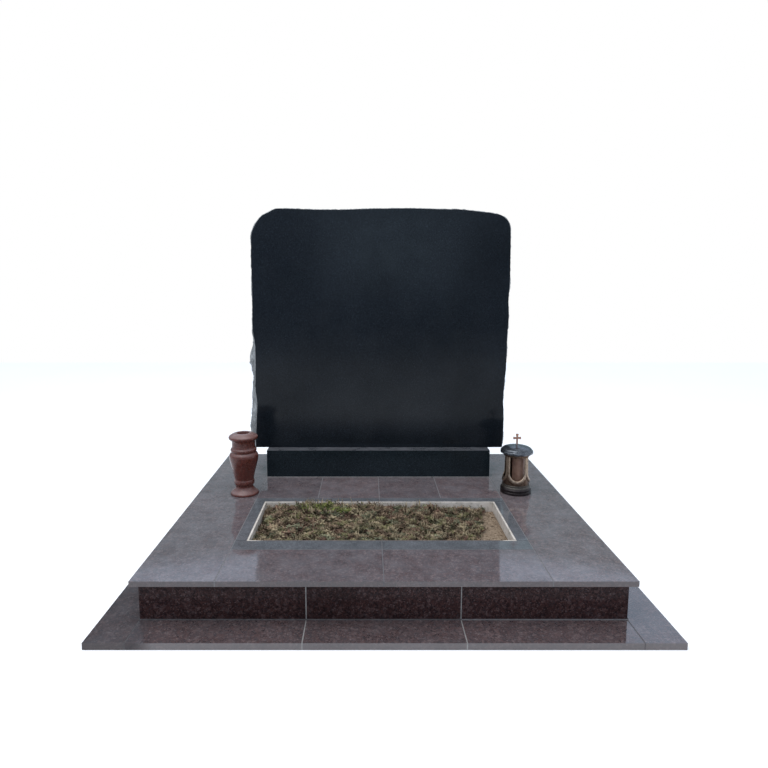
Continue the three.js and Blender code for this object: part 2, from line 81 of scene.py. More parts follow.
def add_camera():
    data = bpy.data.cameras.new("camera")
    data.sensor_width = SENSOR
    data.lens = FOCAL_PX * SENSOR / PHOTO_SIZE
    data.shift_x = (PHOTO_SIZE / 2 - AXIS_PX[0]) / PHOTO_SIZE
    data.shift_y = (AXIS_PX[1] - PHOTO_SIZE / 2) / PHOTO_SIZE
    camera = bpy.data.objects.new("camera", data)
    camera.location = (CAMERA_X, cad_box[0].y - CAMERA_TO_PLATFORM, CAMERA_HEIGHT)
    camera.rotation_euler = (math.pi / 2 - CAMERA_PITCH, 0, 0)
    bpy.context.scene.collection.objects.link(camera)
    bpy.context.scene.camera = camera


LAMP_PLACE = Vector((-1.2, -1.0, 4.6))
LAMP_AIM = Vector((0, 0, 0.2))
LAMP_SIZE = 3.6
LAMP_WATTS = 115


def add_lamp():
    """One large soft light overhead, a little to the left."""
    data = bpy.data.lights.new("soft_top", "AREA")
    data.shape = "SQUARE"
    data.size = LAMP_SIZE
    data.energy = LAMP_WATTS
    lamp = bpy.data.objects.new("soft_top", data)
    lamp.location = LAMP_PLACE
    lamp.rotation_euler = (LAMP_AIM - LAMP_PLACE).to_track_quat("-Z", "Y").to_euler()
    bpy.context.scene.collection.objects.link(lamp)


class Graph:
    """A short way to write a node tree."""

    def __init__(self, tree):
        self.tree = tree
        tree.nodes.clear()

    def node(self, kind, inputs=None, **settings):
        made = self.tree.nodes.new(kind)
        for key, value in settings.items():
            setattr(made, key, value)
        for key, value in (inputs or {}).items():
            if isinstance(value, bpy.types.NodeSocket):
                self.tree.links.new(value, made.inputs[key])
            else:
                made.inputs[key].default_value = value
        return made

    def math(self, kind, a, b=0.0):
        return self.node("ShaderNodeMath", {0: a, 1: b}, operation=kind).outputs[0]

    def times(self, a, b):
        return self.math("MULTIPLY", a, b)

    def plus(self, a, b):
        return self.math("ADD", a, b)

    def mix(self, factor, a, b, blend="MIX"):
        inputs = {0: factor, 6: a, 7: b}
        return self.node("ShaderNodeMix", inputs, data_type="RGBA", blend_type=blend).outputs[2]

    def spread(self, value, low, high, to_low=0.0, to_high=1.0):
        """A value's stretch from low to high, laid over to_low to to_high and held at its ends."""
        inputs = {"Value": value, "From Min": low, "From Max": high, "To Min": to_low, "To Max": to_high}
        return self.node("ShaderNodeMapRange", inputs).outputs[0]

    def fade(self, value, low, high):
        return self.spread(value, low, high, 1.0, 0.0)

    def ramp(self, value, stops, constant=False):
        made = self.node("ShaderNodeValToRGB", {"Fac": value})
        ramp = made.color_ramp
        ramp.interpolation = "CONSTANT" if constant else "LINEAR"
        while len(ramp.elements) < len(stops):
            ramp.elements.new(1.0)
        for element, (position, colour) in zip(ramp.elements, stops):
            element.position = position
            element.color = (*colour, 1)
        return made.outputs[0]

    def place(self):
        return self.node("ShaderNodeTexCoord").outputs["Object"]

    def along(self, vector, axis):
        return self.node("ShaderNodeSeparateXYZ", {"Vector": vector}).outputs[axis]

    def noise(self, place, scale, detail=2.0, rough=0.5, output="Fac"):
        """Noise with its middle at 0.5, and scale waves to the metre."""
        inputs = {"Vector": place, "Scale": scale, "Detail": detail, "Roughness": rough}
        return self.node("ShaderNodeTexNoise", inputs).outputs[output]

    def cells(self, place, scale):
        return self.node("ShaderNodeTexVoronoi", {"Vector": place, "Scale": scale})

    def cell_value(self, place, scale):
        """A value of its own for each cell."""
        colour = self.cells(place, scale).outputs["Color"]
        return self.node("ShaderNodeSeparateColor", {"Color": colour}).outputs["Red"]

    def vectors(self, kind, inputs):
        return self.node("ShaderNodeVectorMath", inputs, operation=kind).outputs[0]

    def warped(self, place, scale, reach):
        """The place moved about a little, so that cells lose their straight sides."""
        wave = self.noise(place, scale, output="Color")
        centred = self.vectors("SUBTRACT", {0: wave, 1: (0.5, 0.5, 0.5)})
        moved = self.vectors("SCALE", {0: centred, "Scale": reach})
        return self.vectors("ADD", {0: place, 1: moved})

    def up(self):
        """How far the surface faces up, from -1 to 1."""
        return self.along(self.node("ShaderNodeNewGeometry").outputs["Normal"], "Z")

    def bump(self, height, distance, strength=1.0):
        inputs = {"Height": height, "Distance": distance, "Strength": strength}
        return self.node("ShaderNodeBump", inputs).outputs[0]

    def surface(self, inputs):
        shader = self.node("ShaderNodeBsdfPrincipled", inputs)
        self.node("ShaderNodeOutputMaterial", {"Surface": shader.outputs[0]})
        return shader


def new_material(name):
    made = bpy.data.materials.new(name)
    made.use_nodes = True
    return made, Graph(made.node_tree)


def grey(value):
    return (value, value, value)


# Seen directly the sky is white. What the stone mirrors is dimmer near the horizon, both behind the
# camera and behind the headstone, and blue above that.
SKY_WHITE = (1.0, 1.0, 1.0, 1)
SKY_OVERHEAD = (0.93, 1.01, 1.14, 1)
SKY_BEHIND_CAMERA = (0.55, 0.68, 0.88, 1)
SKY_BEHIND_STONE = (0.28, 0.38, 0.42, 1)
SKY_ABOVE_DARK = (0.87, 1.06, 1.34, 1)

# Low behind the camera it is darker still, with a bright gap that the headstone mirrors
DARK_BEHIND_CAMERA = (0.20, 0.25, 0.35, 1)
SKY_GAP = (1.15, 1.5, 1.85, 1)
GAP_MIDDLE = 0.05
GAP_REACH = (0.05, 0.16)

# Where one part of the sky fades into the next, as bands of Y and Z on the unit sphere
NEAR_BAND = (-0.75, -0.15)
NEAR_TOP = (0.1, 0.62)
DARK_BAND = (-0.9, -0.7)
DARK_TOP = (0.08, 0.15)
GAP_FOOT = (-0.03, 0.03)
FAR_BAND = (0.2, 0.6)
FAR_DARK_TOP = (0.412, 0.43)
FAR_SKY_TOP = (0.6, 0.75)


def add_world():
    world = bpy.data.worlds.new("studio")
    world.use_nodes = True
    bpy.context.scene.world = world
    g = Graph(world.node_tree)
    direction = g.node("ShaderNodeTexCoord").outputs["Generated"]
    across, ahead, height = (g.along(direction, axis) for axis in "XYZ")
    near = g.times(g.fade(ahead, *NEAR_BAND), g.fade(height, *NEAR_TOP))
    far = g.spread(ahead, *FAR_BAND)
    light = g.mix(near, SKY_OVERHEAD, SKY_BEHIND_CAMERA)
    low = g.times(g.fade(ahead, *DARK_BAND), g.fade(height, *DARK_TOP))
    light = g.mix(low, light, DARK_BEHIND_CAMERA)
    aside = g.math("ABSOLUTE", g.math("SUBTRACT", across, GAP_MIDDLE))
    gap = g.times(g.fade(aside, *GAP_REACH), g.spread(height, *GAP_FOOT))
    light = g.mix(g.times(gap, low), light, SKY_GAP)
    light = g.mix(g.times(far, g.fade(height, *FAR_SKY_TOP)), light, SKY_ABOVE_DARK)
    light = g.mix(g.times(far, g.fade(height, *FAR_DARK_TOP)), light, SKY_BEHIND_STONE)
    seen = g.node("ShaderNodeLightPath").outputs["Is Camera Ray"]
    colour = g.mix(seen, light, SKY_WHITE)
    shader = g.node("ShaderNodeBackground", {"Color": colour, "Strength": 1.0})
    g.node("ShaderNodeOutputWorld", {"Surface": shader.outputs[0]})


FLOOR_REACH = 6.5
FLOOR_DROP = 0.5 * MM
FLOOR_GLOW = (1.0, 0.93, 0.88, 1)
FLOOR_GLOW_STRENGTH = 0.1


def add_floor():
    made, g = new_material("studio_floor")
    tone = g.ramp(g.noise(g.place(), 1.3), [(0.3, grey(0.95)), (0.7, grey(0.97))])
    g.surface({
        "Base Color": tone,
        "Roughness": 0.9,
        "Specular IOR Level": 0.1,
        "Emission Color": FLOOR_GLOW,
        "Emission Strength": FLOOR_GLOW_STRENGTH,
    })
    mesh = bpy.data.meshes.new("floor")
    signs = [(-1, -1), (1, -1), (1, 1), (-1, 1)]
    mesh.from_pydata([(x * FLOOR_REACH, y * FLOOR_REACH, -FLOOR_DROP) for x, y in signs], [], [(0, 1, 2, 3)])
    mesh.materials.append(made)
    floor = bpy.data.objects.new("floor", mesh)
    bpy.context.scene.collection.objects.link(floor)


def add_studio():
    bpy.context.scene.view_settings.view_transform = "Standard"
    add_world()
    add_floor()
    add_lamp()


# Stone. A list of minerals gives each one's colour, and the share of the grains from which it starts.

BROWN_MINERALS = [
    (0.0, (0.012, 0.009, 0.010)), (0.26, (0.050, 0.026, 0.024)), (0.56, (0.085, 0.042, 0.036)),
    (0.76, (0.060, 0.050, 0.052)), (0.90, (0.150, 0.095, 0.085)), (0.97, (0.16, 0.125, 0.12)),
]
GREY_MINERALS = [
    (0.0, (0.010, 0.012, 0.014)), (0.35, (0.030, 0.036, 0.040)), (0.7, (0.055, 0.066, 0.070)),
    (0.93, (0.13, 0.15, 0.155)),
]
RED_MINERALS = [
    (0.0, (0.016, 0.006, 0.006)), (0.2, (0.085, 0.020, 0.014)), (0.5, (0.14, 0.034, 0.022)),
    (0.78, (0.10, 0.045, 0.036)), (0.93, (0.27, 0.13, 0.10)),
]
BLACK_MINERALS = [
    (0.0, (0.0032, 0.0044, 0.006)), (0.55, (0.0055, 0.0075, 0.010)), (0.84, (0.010, 0.0135, 0.0175)),
    (0.965, (0.030, 0.041, 0.053)),
]
DUST = (0.285, 0.28, 0.30, 1)
# Painted highlight: the pale film on the vase's upward faces, standing in for the sky's reflection.
RED_PAINTED_SHEEN = (0.34, 0.25, 0.235, 1)
SAWN_EDGE = (0.135, 0.125, 0.124, 1)
WORN_POLISH = (0.035, 0.034, 0.037, 1)


def granite(name, minerals, grain, tint, polish, dust_and_painted_sheen=0.0, sawn=False, mirror=0.5, lie=0.6, dull=None,
            film_tone=DUST):
    """Stone of small mineral grains, grain metres across, with larger ones between. polish is its
    roughness and mirror how much it reflects. A film of the colour film_tone lies on what faces up,
    from the slope lie on: dust on most stones, and a painted highlight of the sky on the red vase.
    Sawn slabs have matt edges. Along the stretch dull of X the polish is worn off."""
    made, g = new_material(name)
    place = g.place()
    spot = g.warped(place, 0.35 / grain, grain)
    fine = g.ramp(g.cell_value(spot, 1 / grain), minerals, constant=True)
    pale_first = [(0.0, minerals[-2][1]), (0.16, minerals[1][1]), (0.6, minerals[2][1])]
    coarse = g.ramp(g.cell_value(spot, 0.36 / grain), pale_first, constant=True)
    stone = g.mix(0.42, fine, coarse)
    cloud = g.noise(place, 3.1, 4)
    stone = g.mix(1.0, stone, g.ramp(cloud, [(0.3, grey(0.8)), (0.7, grey(1.2))]), "MULTIPLY")
    stone = g.mix(1.0, stone, (*tint, 1), "MULTIPLY")
    up = g.up()
    roughness = g.spread(g.noise(place, 9, 4), 0.3, 0.7, polish, polish * 1.7)
    # The film on what faces up: dust on most stones, and a painted highlight of the sky on the red vase.
    if dust_and_painted_sheen:
        film = g.spread(g.noise(place, 14, 5, 0.65), 0.3, 0.7, dust_and_painted_sheen * 0.6, dust_and_painted_sheen * 1.4)
        film = g.times(film, g.spread(up, lie, 0.95))
        stone = g.mix(film, stone, film_tone)
        roughness = g.plus(roughness, g.times(film, 0.06))
    if sawn:
        edge = g.spread(g.math("ABSOLUTE", up), 0.55, 0.2)
        worn = g.mix(0.55, stone, SAWN_EDGE)
        stone = g.mix(edge, stone, worn)
        roughness = g.plus(roughness, g.times(edge, 0.45))
    pits = g.cells(spot, 1.4 / grain).outputs["Distance"]
    gloss = g.spread(g.noise(place, 1.7, 3), 0.3, 0.7, mirror * 0.75, mirror * 1.25)
    if dull:
        worn = g.spread(g.along(place, "X"), *dull)
        stone = g.mix(g.times(worn, 0.5), stone, WORN_POLISH)
        roughness = g.plus(roughness, g.times(worn, 0.3))
        gloss = g.times(gloss, g.spread(worn, 0.0, 1.0, 1.0, 0.15))
    normal = g.bump(pits, 0.00002, 0.5)
    g.surface({"Base Color": stone, "Roughness": roughness, "Specular IOR Level": gloss, "Normal": normal})
    return made


BROKEN_TONES = [(0.0, (0.035, 0.038, 0.041)), (0.5, (0.10, 0.105, 0.11)), (1.0, (0.24, 0.25, 0.25))]
BRUISE = (0.30, 0.31, 0.31, 1)
DAMP_STONE = (0.055, 0.055, 0.05, 1)


def broken_stone():
    """The pitched edge of the headstone: broken, unpolished, bruised pale by the tool."""
    made, g = new_material("pitched_granite")
    place = g.place()
    grain = g.cell_value(g.warped(place, 90, 0.004), 420)
    stone = g.ramp(grain, BROKEN_TONES)
    bruise = g.noise(place, 26, 6, 0.7)
    stone = g.mix(g.spread(bruise, 0.42, 0.68), stone, BRUISE)
    damp = g.spread(g.noise(place, 5, 3), 0.4, 0.7, 0.0, 0.45)
    stone = g.mix(damp, stone, DAMP_STONE)
    height = g.noise(place, 240, 5, 0.7)
    g.surface({"Base Color": stone, "Roughness": 0.72, "Normal": g.bump(height, 0.0012, 0.8)})
    return made


def grout_material(name, dark, pale):
    made, g = new_material(name)
    place = g.place()
    colour = g.ramp(g.noise(place, 60, 5, 0.7), [(0.3, dark), (0.7, pale)])
    height = g.noise(place, 700, 3)
    g.surface({"Base Color": colour, "Roughness": 0.9, "Normal": g.bump(height, 0.0006, 0.6)})
    return made


CONCRETE_TONES = [(0.3, (0.42, 0.375, 0.325)), (0.5, (0.56, 0.505, 0.445)), (0.7, (0.69, 0.625, 0.565))]
CONCRETE_BLOTCH = (0.26, 0.24, 0.19, 1)
LIP_STAIN = (0.075, 0.06, 0.058, 1)
LIP_BAND = (2 * MM, 12 * MM)  # the stain fades over this stretch behind the front of the soil
LIP_ENDS = (0.98, 1.04)  # and near the ends of the bed, as shares of its half width


def concrete_material():
    """Pale concrete, stained dark by soil and plants along the front lip of the bed."""
    made, g = new_material("concrete")
    place = g.place()
    tone = g.noise(place, 18, 6, 0.65)
    colour = g.ramp(tone, CONCRETE_TONES)
    blotch = g.noise(place, 42, 4, 0.7)
    colour = g.mix(g.spread(blotch, 0.55, 0.75), colour, CONCRETE_BLOTCH)
    bed_lo, bed_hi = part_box("soil")
    front = g.fade(g.along(place, "Y"), *(bed_lo.y + y for y in LIP_BAND))
    middle = (bed_lo.x + bed_hi.x) / 2
    reach = (bed_hi.x - bed_lo.x) / 2
    aside = g.math("ABSOLUTE", g.math("SUBTRACT", g.along(place, "X"), middle))
    ragged = g.plus(aside, g.times(blotch, 0.1))
    stain = g.times(front, g.fade(ragged, *(reach * share for share in LIP_ENDS)))
    colour = g.mix(g.times(stain, 0.93), colour, LIP_STAIN)
    height = g.noise(place, 320, 6, 0.7)
    g.surface({"Base Color": colour, "Roughness": 0.92, "Normal": g.bump(height, 0.001, 0.7)})
    return made


EARTH_TONES = [(0.3, (0.020, 0.013, 0.008)), (0.55, (0.075, 0.050, 0.032)), (0.75, (0.16, 0.11, 0.07))]
SAND_TONES = [(0.3, (0.125, 0.086, 0.055)), (0.5, (0.255, 0.187, 0.125)), (0.7, (0.405, 0.31, 0.217))]
SAND_LENGTH = 0.13  # at the right end of the bed
SAND_FADE = 0.08


def soil_material():
    """Dark earth, with pale sand at the bare end of the bed."""
    made, g = new_material("soil")
    place = g.place()
    crumb = g.noise(place, 150, 6, 0.75)
    earth = g.ramp(crumb, EARTH_TONES)
    sand = g.ramp(crumb, SAND_TONES)
    ragged = g.plus(g.along(place, "X"), g.times(g.noise(place, 12, 4), 0.12))
    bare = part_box("soil")[1].x - SAND_LENGTH
    colour = g.mix(g.spread(ragged, bare, bare + SAND_FADE), earth, sand)
    g.surface({"Base Color": colour, "Roughness": 1.0, "Normal": g.bump(crumb, 0.004, 0.8)})
    return made


CLUMP_SHADING_SCALE = 34
CLUMP_PAINTED_HIGHLIGHT = 1.6  # painted highlight on top of a clump, times the pale leaf's colour
CLUMP_PAINTED_SHADE = 0.32  # painted shade in the hollows between clumps, times the dark leaf's colour


def toned(colour, share):
    return (*[min(1, c * share) for c in colour], 1)


def leaf_material(name, dark, pale):
    """Leaves in two tones, with a painted highlight on top of the clumps and painted shade between them."""
    made, g = new_material(name)
    place = g.place()
    tone = g.noise(place, 85, 4, 0.6)
    colour = g.ramp(tone, [(0.32, dark), (0.68, pale)])
    spots = g.spread(g.noise(place, 420, 2), 0.5, 0.7, 0.0, 0.5)
    colour = g.mix(spots, colour, toned(dark, 0.6))
    # Painted light and shade: paler where this clump noise is high, darker in the hollows between clumps.
    clump_shading = g.noise(place, CLUMP_SHADING_SCALE, 3, 0.55)
    colour = g.mix(g.spread(clump_shading, 0.51, 0.66, 0.0, 0.55), colour, toned(pale, CLUMP_PAINTED_HIGHLIGHT))
    colour = g.mix(g.spread(clump_shading, 0.38, 0.50, 0.8, 0.0), colour, toned(dark, CLUMP_PAINTED_SHADE))
    g.surface({"Base Color": colour, "Roughness": 0.7, "Specular IOR Level": 0.2})
    return made


PATINA = (0.095, 0.085, 0.07, 1)


def metal_material(name, dark, pale, roughness, metallic=1.0, grain=90, upper=None):
    """Cast metal. With upper, it turns to a paler patina between two heights."""
    made, g = new_material(name)
    place = g.place()
    tone = g.noise(place, grain, 5, 0.65)
    colour = g.ramp(tone, [(0.32, dark), (0.68, pale)])
    if upper:
        height = g.along(place, "Z")
        blotch = g.spread(g.noise(place, grain * 1.5, 4, 0.7), 0.35, 0.65, 0.35, 1.0)
        colour = g.mix(g.times(g.spread(height, *upper), blotch), colour, PATINA)
    worn = g.spread(g.noise(place, grain * 3, 4), 0.3, 0.7, roughness * 0.7, roughness * 1.4)
    normal = g.bump(tone, 0.0004, 0.4)
    g.surface({"Base Color": colour, "Roughness": worn, "Metallic": metallic, "Normal": normal})
    return made


GLASS_TONES = [(0.3, (0.31, 0.165, 0.115)), (0.7, (0.46, 0.28, 0.205))]


def glass_material():
    """Amber glass, hazed by smoke and dirt."""
    made, g = new_material("lantern_glass")
    place = g.place()
    g.surface({
        "Base Color": g.ramp(g.noise(place, 55, 4), GLASS_TONES),
        "Roughness": 0.28,
        "IOR": 1.5,
        "Specular IOR Level": 0.25,
        "Transmission Weight": 0.4,
    })
    return made


def lantern_step(low, high):
    """The heights of the upper step of the lantern's base, between two shares of its height."""
    lo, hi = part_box("lantern_base")
    return lo.z + low * (hi.z - lo.z), lo.z + high * (hi.z - lo.z)


BLACK_GRAIN = 1.6 * MM
BROWN_GRAIN = 4.2 * MM
GREY_GRAIN = 3 * MM
RED_GRAIN = 2.2 * MM
WORN_END = (-0.80, -0.86)  # where the front of the platform is worn, from slightly to fully


def black(name, tint, dust_and_painted_sheen):
    return granite(name, BLACK_MINERALS, BLACK_GRAIN, tint, polish=0.12, dust_and_painted_sheen=dust_and_painted_sheen, mirror=0.19)


def brown(name, tint, polish, dust_and_painted_sheen, mirror=0.5, dull=None):
    return granite(name, BROWN_MINERALS, BROWN_GRAIN, tint, polish, dust_and_painted_sheen, True, mirror, dull=dull)


MATERIALS = {
    "black": black("black_granite", (1, 1, 1), 0.22),
    "pitched": broken_stone(),
    "base": black("base_granite", (1.35, 1.5, 1.4), 0.26),
    "brown_a": brown("brown_granite_a", (1.0, 1.0, 1.0), 0.03, 0.27),
    "brown_b": brown("brown_granite_b", (1.1, 1.0, 1.0), 0.035, 0.30),
    "brown_c": brown("brown_granite_c", (0.94, 0.98, 1.04), 0.03, 0.25),
    "worn": brown("worn_granite", (0.5, 0.55, 0.58), 0.35, 0.1, mirror=0.12),
    "platform_a": brown("platform_a", (0.83, 0.86, 0.9), 0.05, 0.1, mirror=0.85),
    "platform_b": brown("platform_b", (0.78, 0.86, 0.92), 0.06, 0.13, mirror=0.85),
    "worn_end": brown("worn_end_granite", (0.83, 0.86, 0.9), 0.05, 0.1, mirror=0.85, dull=WORN_END),
    "cladding": granite("cladding_granite", BROWN_MINERALS, BROWN_GRAIN, (0.485, 0.47, 0.505), 0.1,
                        mirror=0.06),
    "grey": granite("grey_granite", GREY_MINERALS, GREY_GRAIN, (1, 1, 1), 0.03, 0.27, sawn=True),
    # On the red vase, the pale film on what faces up is a painted highlight of the sky.
    "red": granite("red_granite", RED_MINERALS, RED_GRAIN, (0.86, 0.8, 0.8), 0.2, 0.4, mirror=0.4, lie=0.3,
                   film_tone=RED_PAINTED_SHEEN),
    "grout": grout_material("grout", (0.15, 0.143, 0.137), (0.30, 0.29, 0.28)),
    "cover_grout": grout_material("cover_grout", (0.11, 0.105, 0.107), (0.185, 0.18, 0.182)),
    "quiet_grout": grout_material("quiet_grout", (0.085, 0.08, 0.085), (0.13, 0.125, 0.13)),
    "foot_grout": grout_material("foot_grout", (0.05, 0.046, 0.047), (0.10, 0.094, 0.096)),
    "concrete": concrete_material(),
    "soil": soil_material(),
    "bronze": metal_material("bronze", (0.045, 0.028, 0.02), (0.15, 0.10, 0.072), 0.34),
    "rim": metal_material("bronze_rim", (0.20, 0.14, 0.10), (0.44, 0.345, 0.26), 0.35),
    "dark_metal": metal_material("dark_metal", (0.010, 0.007, 0.0068), (0.030, 0.021, 0.021), 0.3, 0.6,
                                 upper=lantern_step(0.62, 0.78)),
    "lid_metal": metal_material("lid_metal", (0.04, 0.045, 0.052), (0.14, 0.15, 0.165), 0.26, 0.8),
    "gilt": metal_material("gilt", (0.22, 0.11, 0.08), (0.48, 0.28, 0.20), 0.35),
    "glass": glass_material(),
}


# Mesh helpers


def add_piece(name, verts, faces, materials, face_slots=None, smooth=True):
    """A piece on the one body, finished with the given materials. face_slots and smooth may be given for
    each face."""
    mesh = bpy.data.meshes.new(name)
    mesh.from_pydata(verts, [], faces)
    for each in materials:
        mesh.materials.append(each)
    if face_slots is not None:
        mesh.polygons.foreach_set("material_index", face_slots)
    if isinstance(smooth, bool):
        smooth = [smooth] * len(mesh.polygons)
    mesh.polygons.foreach_set("use_smooth", smooth)
    mesh.validate()
    mesh.update()
    piece = bpy.data.objects.new(name, mesh)
    bpy.context.scene.collection.objects.link(piece)
    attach(piece, ROOT)
    return piece


def set_material(node, made):
    mesh = NODES[node].data
    mesh.materials.clear()
    mesh.materials.append(made)
    mesh.polygons.foreach_set("material_index", [0] * len(mesh.polygons))


def soften_edges(node, width):
    bevel = NODES[node].modifiers.new("arris", "BEVEL")
    bevel.width = width
    bevel.segments = 2
    bevel.limit_method = "ANGLE"
    bevel.angle_limit = math.radians(40)


def split_creases(piece, angle):
    """Smooth shading breaks where faces meet at more than this angle, in degrees."""
    crease = piece.modifiers.new("crease", "EDGE_SPLIT")
    crease.split_angle = math.radians(angle)


def centre_of(node):
    lo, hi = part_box(node)
    return (lo.x + hi.x) / 2, (lo.y + hi.y) / 2


def curve_through(points, steps):
    """Points along a smooth curve through the given ones, with its first and last kept."""
    points = [Vector(p) for p in points]
    padded = [2 * points[0] - points[1], *points, 2 * points[-1] - points[-2]]
    path = []
    for k in range(1, len(padded) - 2):
        a, b, c, d = padded[k - 1:k + 3]
        for step in range(steps):
            t = step / steps
            path.append(0.5 * (2 * b + (c - a) * t + (2 * a - 5 * b + 4 * c - d) * t * t
                               + (3 * b - a - 3 * c + d) * t ** 3))
    path.append(points[-1])
    return path


def quads(rows, across, start=0, closed=False):
    """Faces between rows of points, across points to a row. A closed row runs on to its first point."""
    faces = []
    for row in range(rows - 1):
        for k in range(across if closed else across - 1):
            a = start + row * across + k
            b = start + row * across + (k + 1) % across
            faces.append((a, b, b + across, a + across))
    return faces


def scaled(runs, radius, height):
    """Runs given as shares of a radius and a height, each from where the one before it ended."""
    made = []
    last = []
    for run in runs:
        made.append([(r * radius, z * height) for r, z in last + run])
        last = run[-1:]
    return made


WELD_REACH = 0.02 * MM
TURNED_CREASE = 38


def turned(name, node, runs, material, segments, steps, shape=None):
    """A shape turned about the vertical axis of a node, which it replaces. Each run is a smooth stretch
    of its (radius, height) outline, and runs meet in a crease. shape changes the radius by angle and
    height."""
    centre = centre_of(node)
    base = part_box(node)[0].z
    profile = []
    for run in runs:
        path = [Vector((*p, 0)) for p in run]
        if len(run) > 2:
            path = curve_through(path, steps)
        profile += [(p.x, p.y) for p in path]
    verts = []
    for radius, height in profile:
        for k in range(segments):
            angle = 2 * math.pi * k / segments
            reach = max(radius, 0.0) * (shape(angle, radius, height) if shape else 1.0)
            x = centre[0] + reach * math.cos(angle)
            y = centre[1] + reach * math.sin(angle)
            verts.append((x, y, base + height))
    piece = add_piece(name, verts, quads(len(profile), segments, closed=True), [material])
    weld = piece.modifiers.new("weld", "WELD")
    weld.merge_threshold = WELD_REACH
    split_creases(piece, TURNED_CREASE)
    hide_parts(node)


# Slabs

SLAB_SEED = 5
SLAB_ARRIS = 1.1 * MM

# The materials that a slab's is chosen from, by the start of its name. The first that fits counts.
SLAB_FINISHES = {
    "border": ("grey",),
    "kerb": ("cladding",),
    "platform_left": ("worn",),
    "platform_front_1": ("worn_end",),
    "platform": ("platform_a", "platform_b"),
    "cover": ("brown_a", "brown_b", "brown_c"),
}


def dress_slabs():
    order = random.Random(SLAB_SEED)
    for node in sorted(NODES):
        tones = next((tones for start, tones in SLAB_FINISHES.items() if node.startswith(start)), None)
        if tones:
            set_material(node, MATERIALS[order.choice(tones) if len(tones) > 1 else tones[0]])
            soften_edges(node, SLAB_ARRIS)


BOX_SIDES = [(0, 2, 3, 1), (4, 5, 7, 6), (0, 1, 5, 4), (2, 6, 7, 3), (0, 4, 6, 2), (1, 3, 7, 5)]
GROUT_DROP = 0.7 * MM


def add_grout(name, strips, material="grout"):
    """Mortar strips, each a box between two corners."""
    verts = []
    faces = []
    for lo, hi in strips:
        faces += [tuple(len(verts) + i for i in side) for side in BOX_SIDES]
        verts += [(x, y, z) for z in (lo[2], hi[2]) for y in (lo[1], hi[1]) for x in (lo[0], hi[0])]
    add_piece(name, verts, faces, [MATERIALS[material]], smooth=False)


def between(first, second, axis):
    """The gap between two neighbouring slabs along an axis, as wide as what they share."""
    (lo_a, hi_a), (lo_b, hi_b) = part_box(first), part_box(second)
    lo = [max(lo_a[i], lo_b[i]) for i in range(3)]
    hi = [min(hi_a[i], hi_b[i]) for i in range(3)]
    lo[axis], hi[axis] = hi_a[axis], lo_b[axis]
    return lo, hi


def row_gaps(prefix, axis):
    """The gaps in a row of slabs that lies along an axis."""
    count = sum(node.startswith(prefix + "_") for node in NODES)
    return [between(f"{prefix}_{i}", f"{prefix}_{i + 1}", axis) for i in range(1, count)]


def recessed(strips, axis, side):
    """Strips with one face drawn back from the slabs' faces, on the high or low side of an axis."""
    made = []
    for lo, hi in strips:
        lo, hi = list(lo), list(hi)
        if side > 0:
            hi[axis] -= GROUT_DROP
        else:
            lo[axis] += GROUT_DROP
        made.append((lo, hi))
    return made


def grout_cover():
    """Mortar in the cover, darker in its front row and in the border."""
    strips = row_gaps("cover_left", 1) + row_gaps("cover_right", 1)
    strips += row_gaps("cover_back", 0) + row_gaps("cover_rear", 0)
    quiet = row_gaps("cover_front", 0) + row_gaps("border_front", 0) + row_gaps("border_back", 0)
    front_lo, front_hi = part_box("cover_front_1")
    rear_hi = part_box("cover_rear_4")[1]
    left_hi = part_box("cover_left_1")[1]
    right_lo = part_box("cover_right_1")[0]
    low, top = front_lo.z, front_hi.z
    strips.append(((left_hi.x, front_lo.y, low), (front_lo.x, rear_hi.y, top)))
    strips.append(((rear_hi.x, front_lo.y, low), (right_lo.x, rear_hi.y, top)))
    for near, far in (("cover_front", "border_front"), ("border_back", "cover_back"),
                      ("cover_back", "cover_rear")):
        near_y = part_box(f"{near}_1")[1].y
        far_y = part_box(f"{far}_1")[0].y
        strips.append(((front_lo.x, near_y, low), (rear_hi.x, far_y, top)))
    add_grout("grout_cover", recessed(strips, 2, 1), "cover_grout")
    add_grout("grout_front_row", recessed(quiet, 2, 1), "quiet_grout")


def grout_kerb():
    strips = []
    for side, facing, out in (("front", 1, -1), ("back", 1, 1), ("left", 0, -1), ("right", 0, 1)):
        strips += recessed(row_gaps(f"kerb_{side}", 1 - facing), facing, out)
    add_grout("grout_kerb", strips)


FILLET = 2.5 * MM


def grout_platform():
    """Mortar in the platform, and a fillet round the foot of the kerb, paler at its front right."""
    rows = row_gaps("platform_front", 0) + row_gaps("platform_back", 0)
    add_grout("grout_platform_rows", recessed(rows, 2, 1))
    strips = row_gaps("platform_left", 1) + row_gaps("platform_right", 1)
    left_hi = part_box("platform_left_1")[1]
    right_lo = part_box("platform_right_1")[0]
    front_lo, front_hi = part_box("platform_front_1")
    back_lo, back_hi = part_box("platform_back_3")
    for lo_x, hi_x in ((left_hi.x, front_lo.x), (back_hi.x, right_lo.x)):
        strips.append(((lo_x, front_lo.y, 0), (hi_x, front_hi.y, front_hi.z)))
        strips.append(((lo_x, back_lo.y, 0), (hi_x, back_hi.y, front_hi.z)))
    made = recessed(strips, 2, 1)
    kerb_lo, kerb_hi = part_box("concrete_kerb")
    top = front_hi.z + FILLET
    pale_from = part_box("kerb_front_3")[0].x
    made.append(((left_hi.x, front_hi.y - FILLET, 0), (pale_from, kerb_lo.y, top)))
    pale = ((pale_from, front_hi.y - FILLET, 0), (right_lo.x, kerb_lo.y, top))
    add_grout("grout_platform_foot", [pale], "cover_grout")
    made.append(((left_hi.x, kerb_hi.y, 0), (right_lo.x, back_lo.y + FILLET, top)))
    made.append(((left_hi.x - FILLET, kerb_lo.y, 0), (kerb_lo.x, kerb_hi.y, top)))
    made.append(((kerb_hi.x, kerb_lo.y, 0), (right_lo.x + FILLET, kerb_hi.y, top)))
    add_grout("grout_platform", made, "foot_grout")


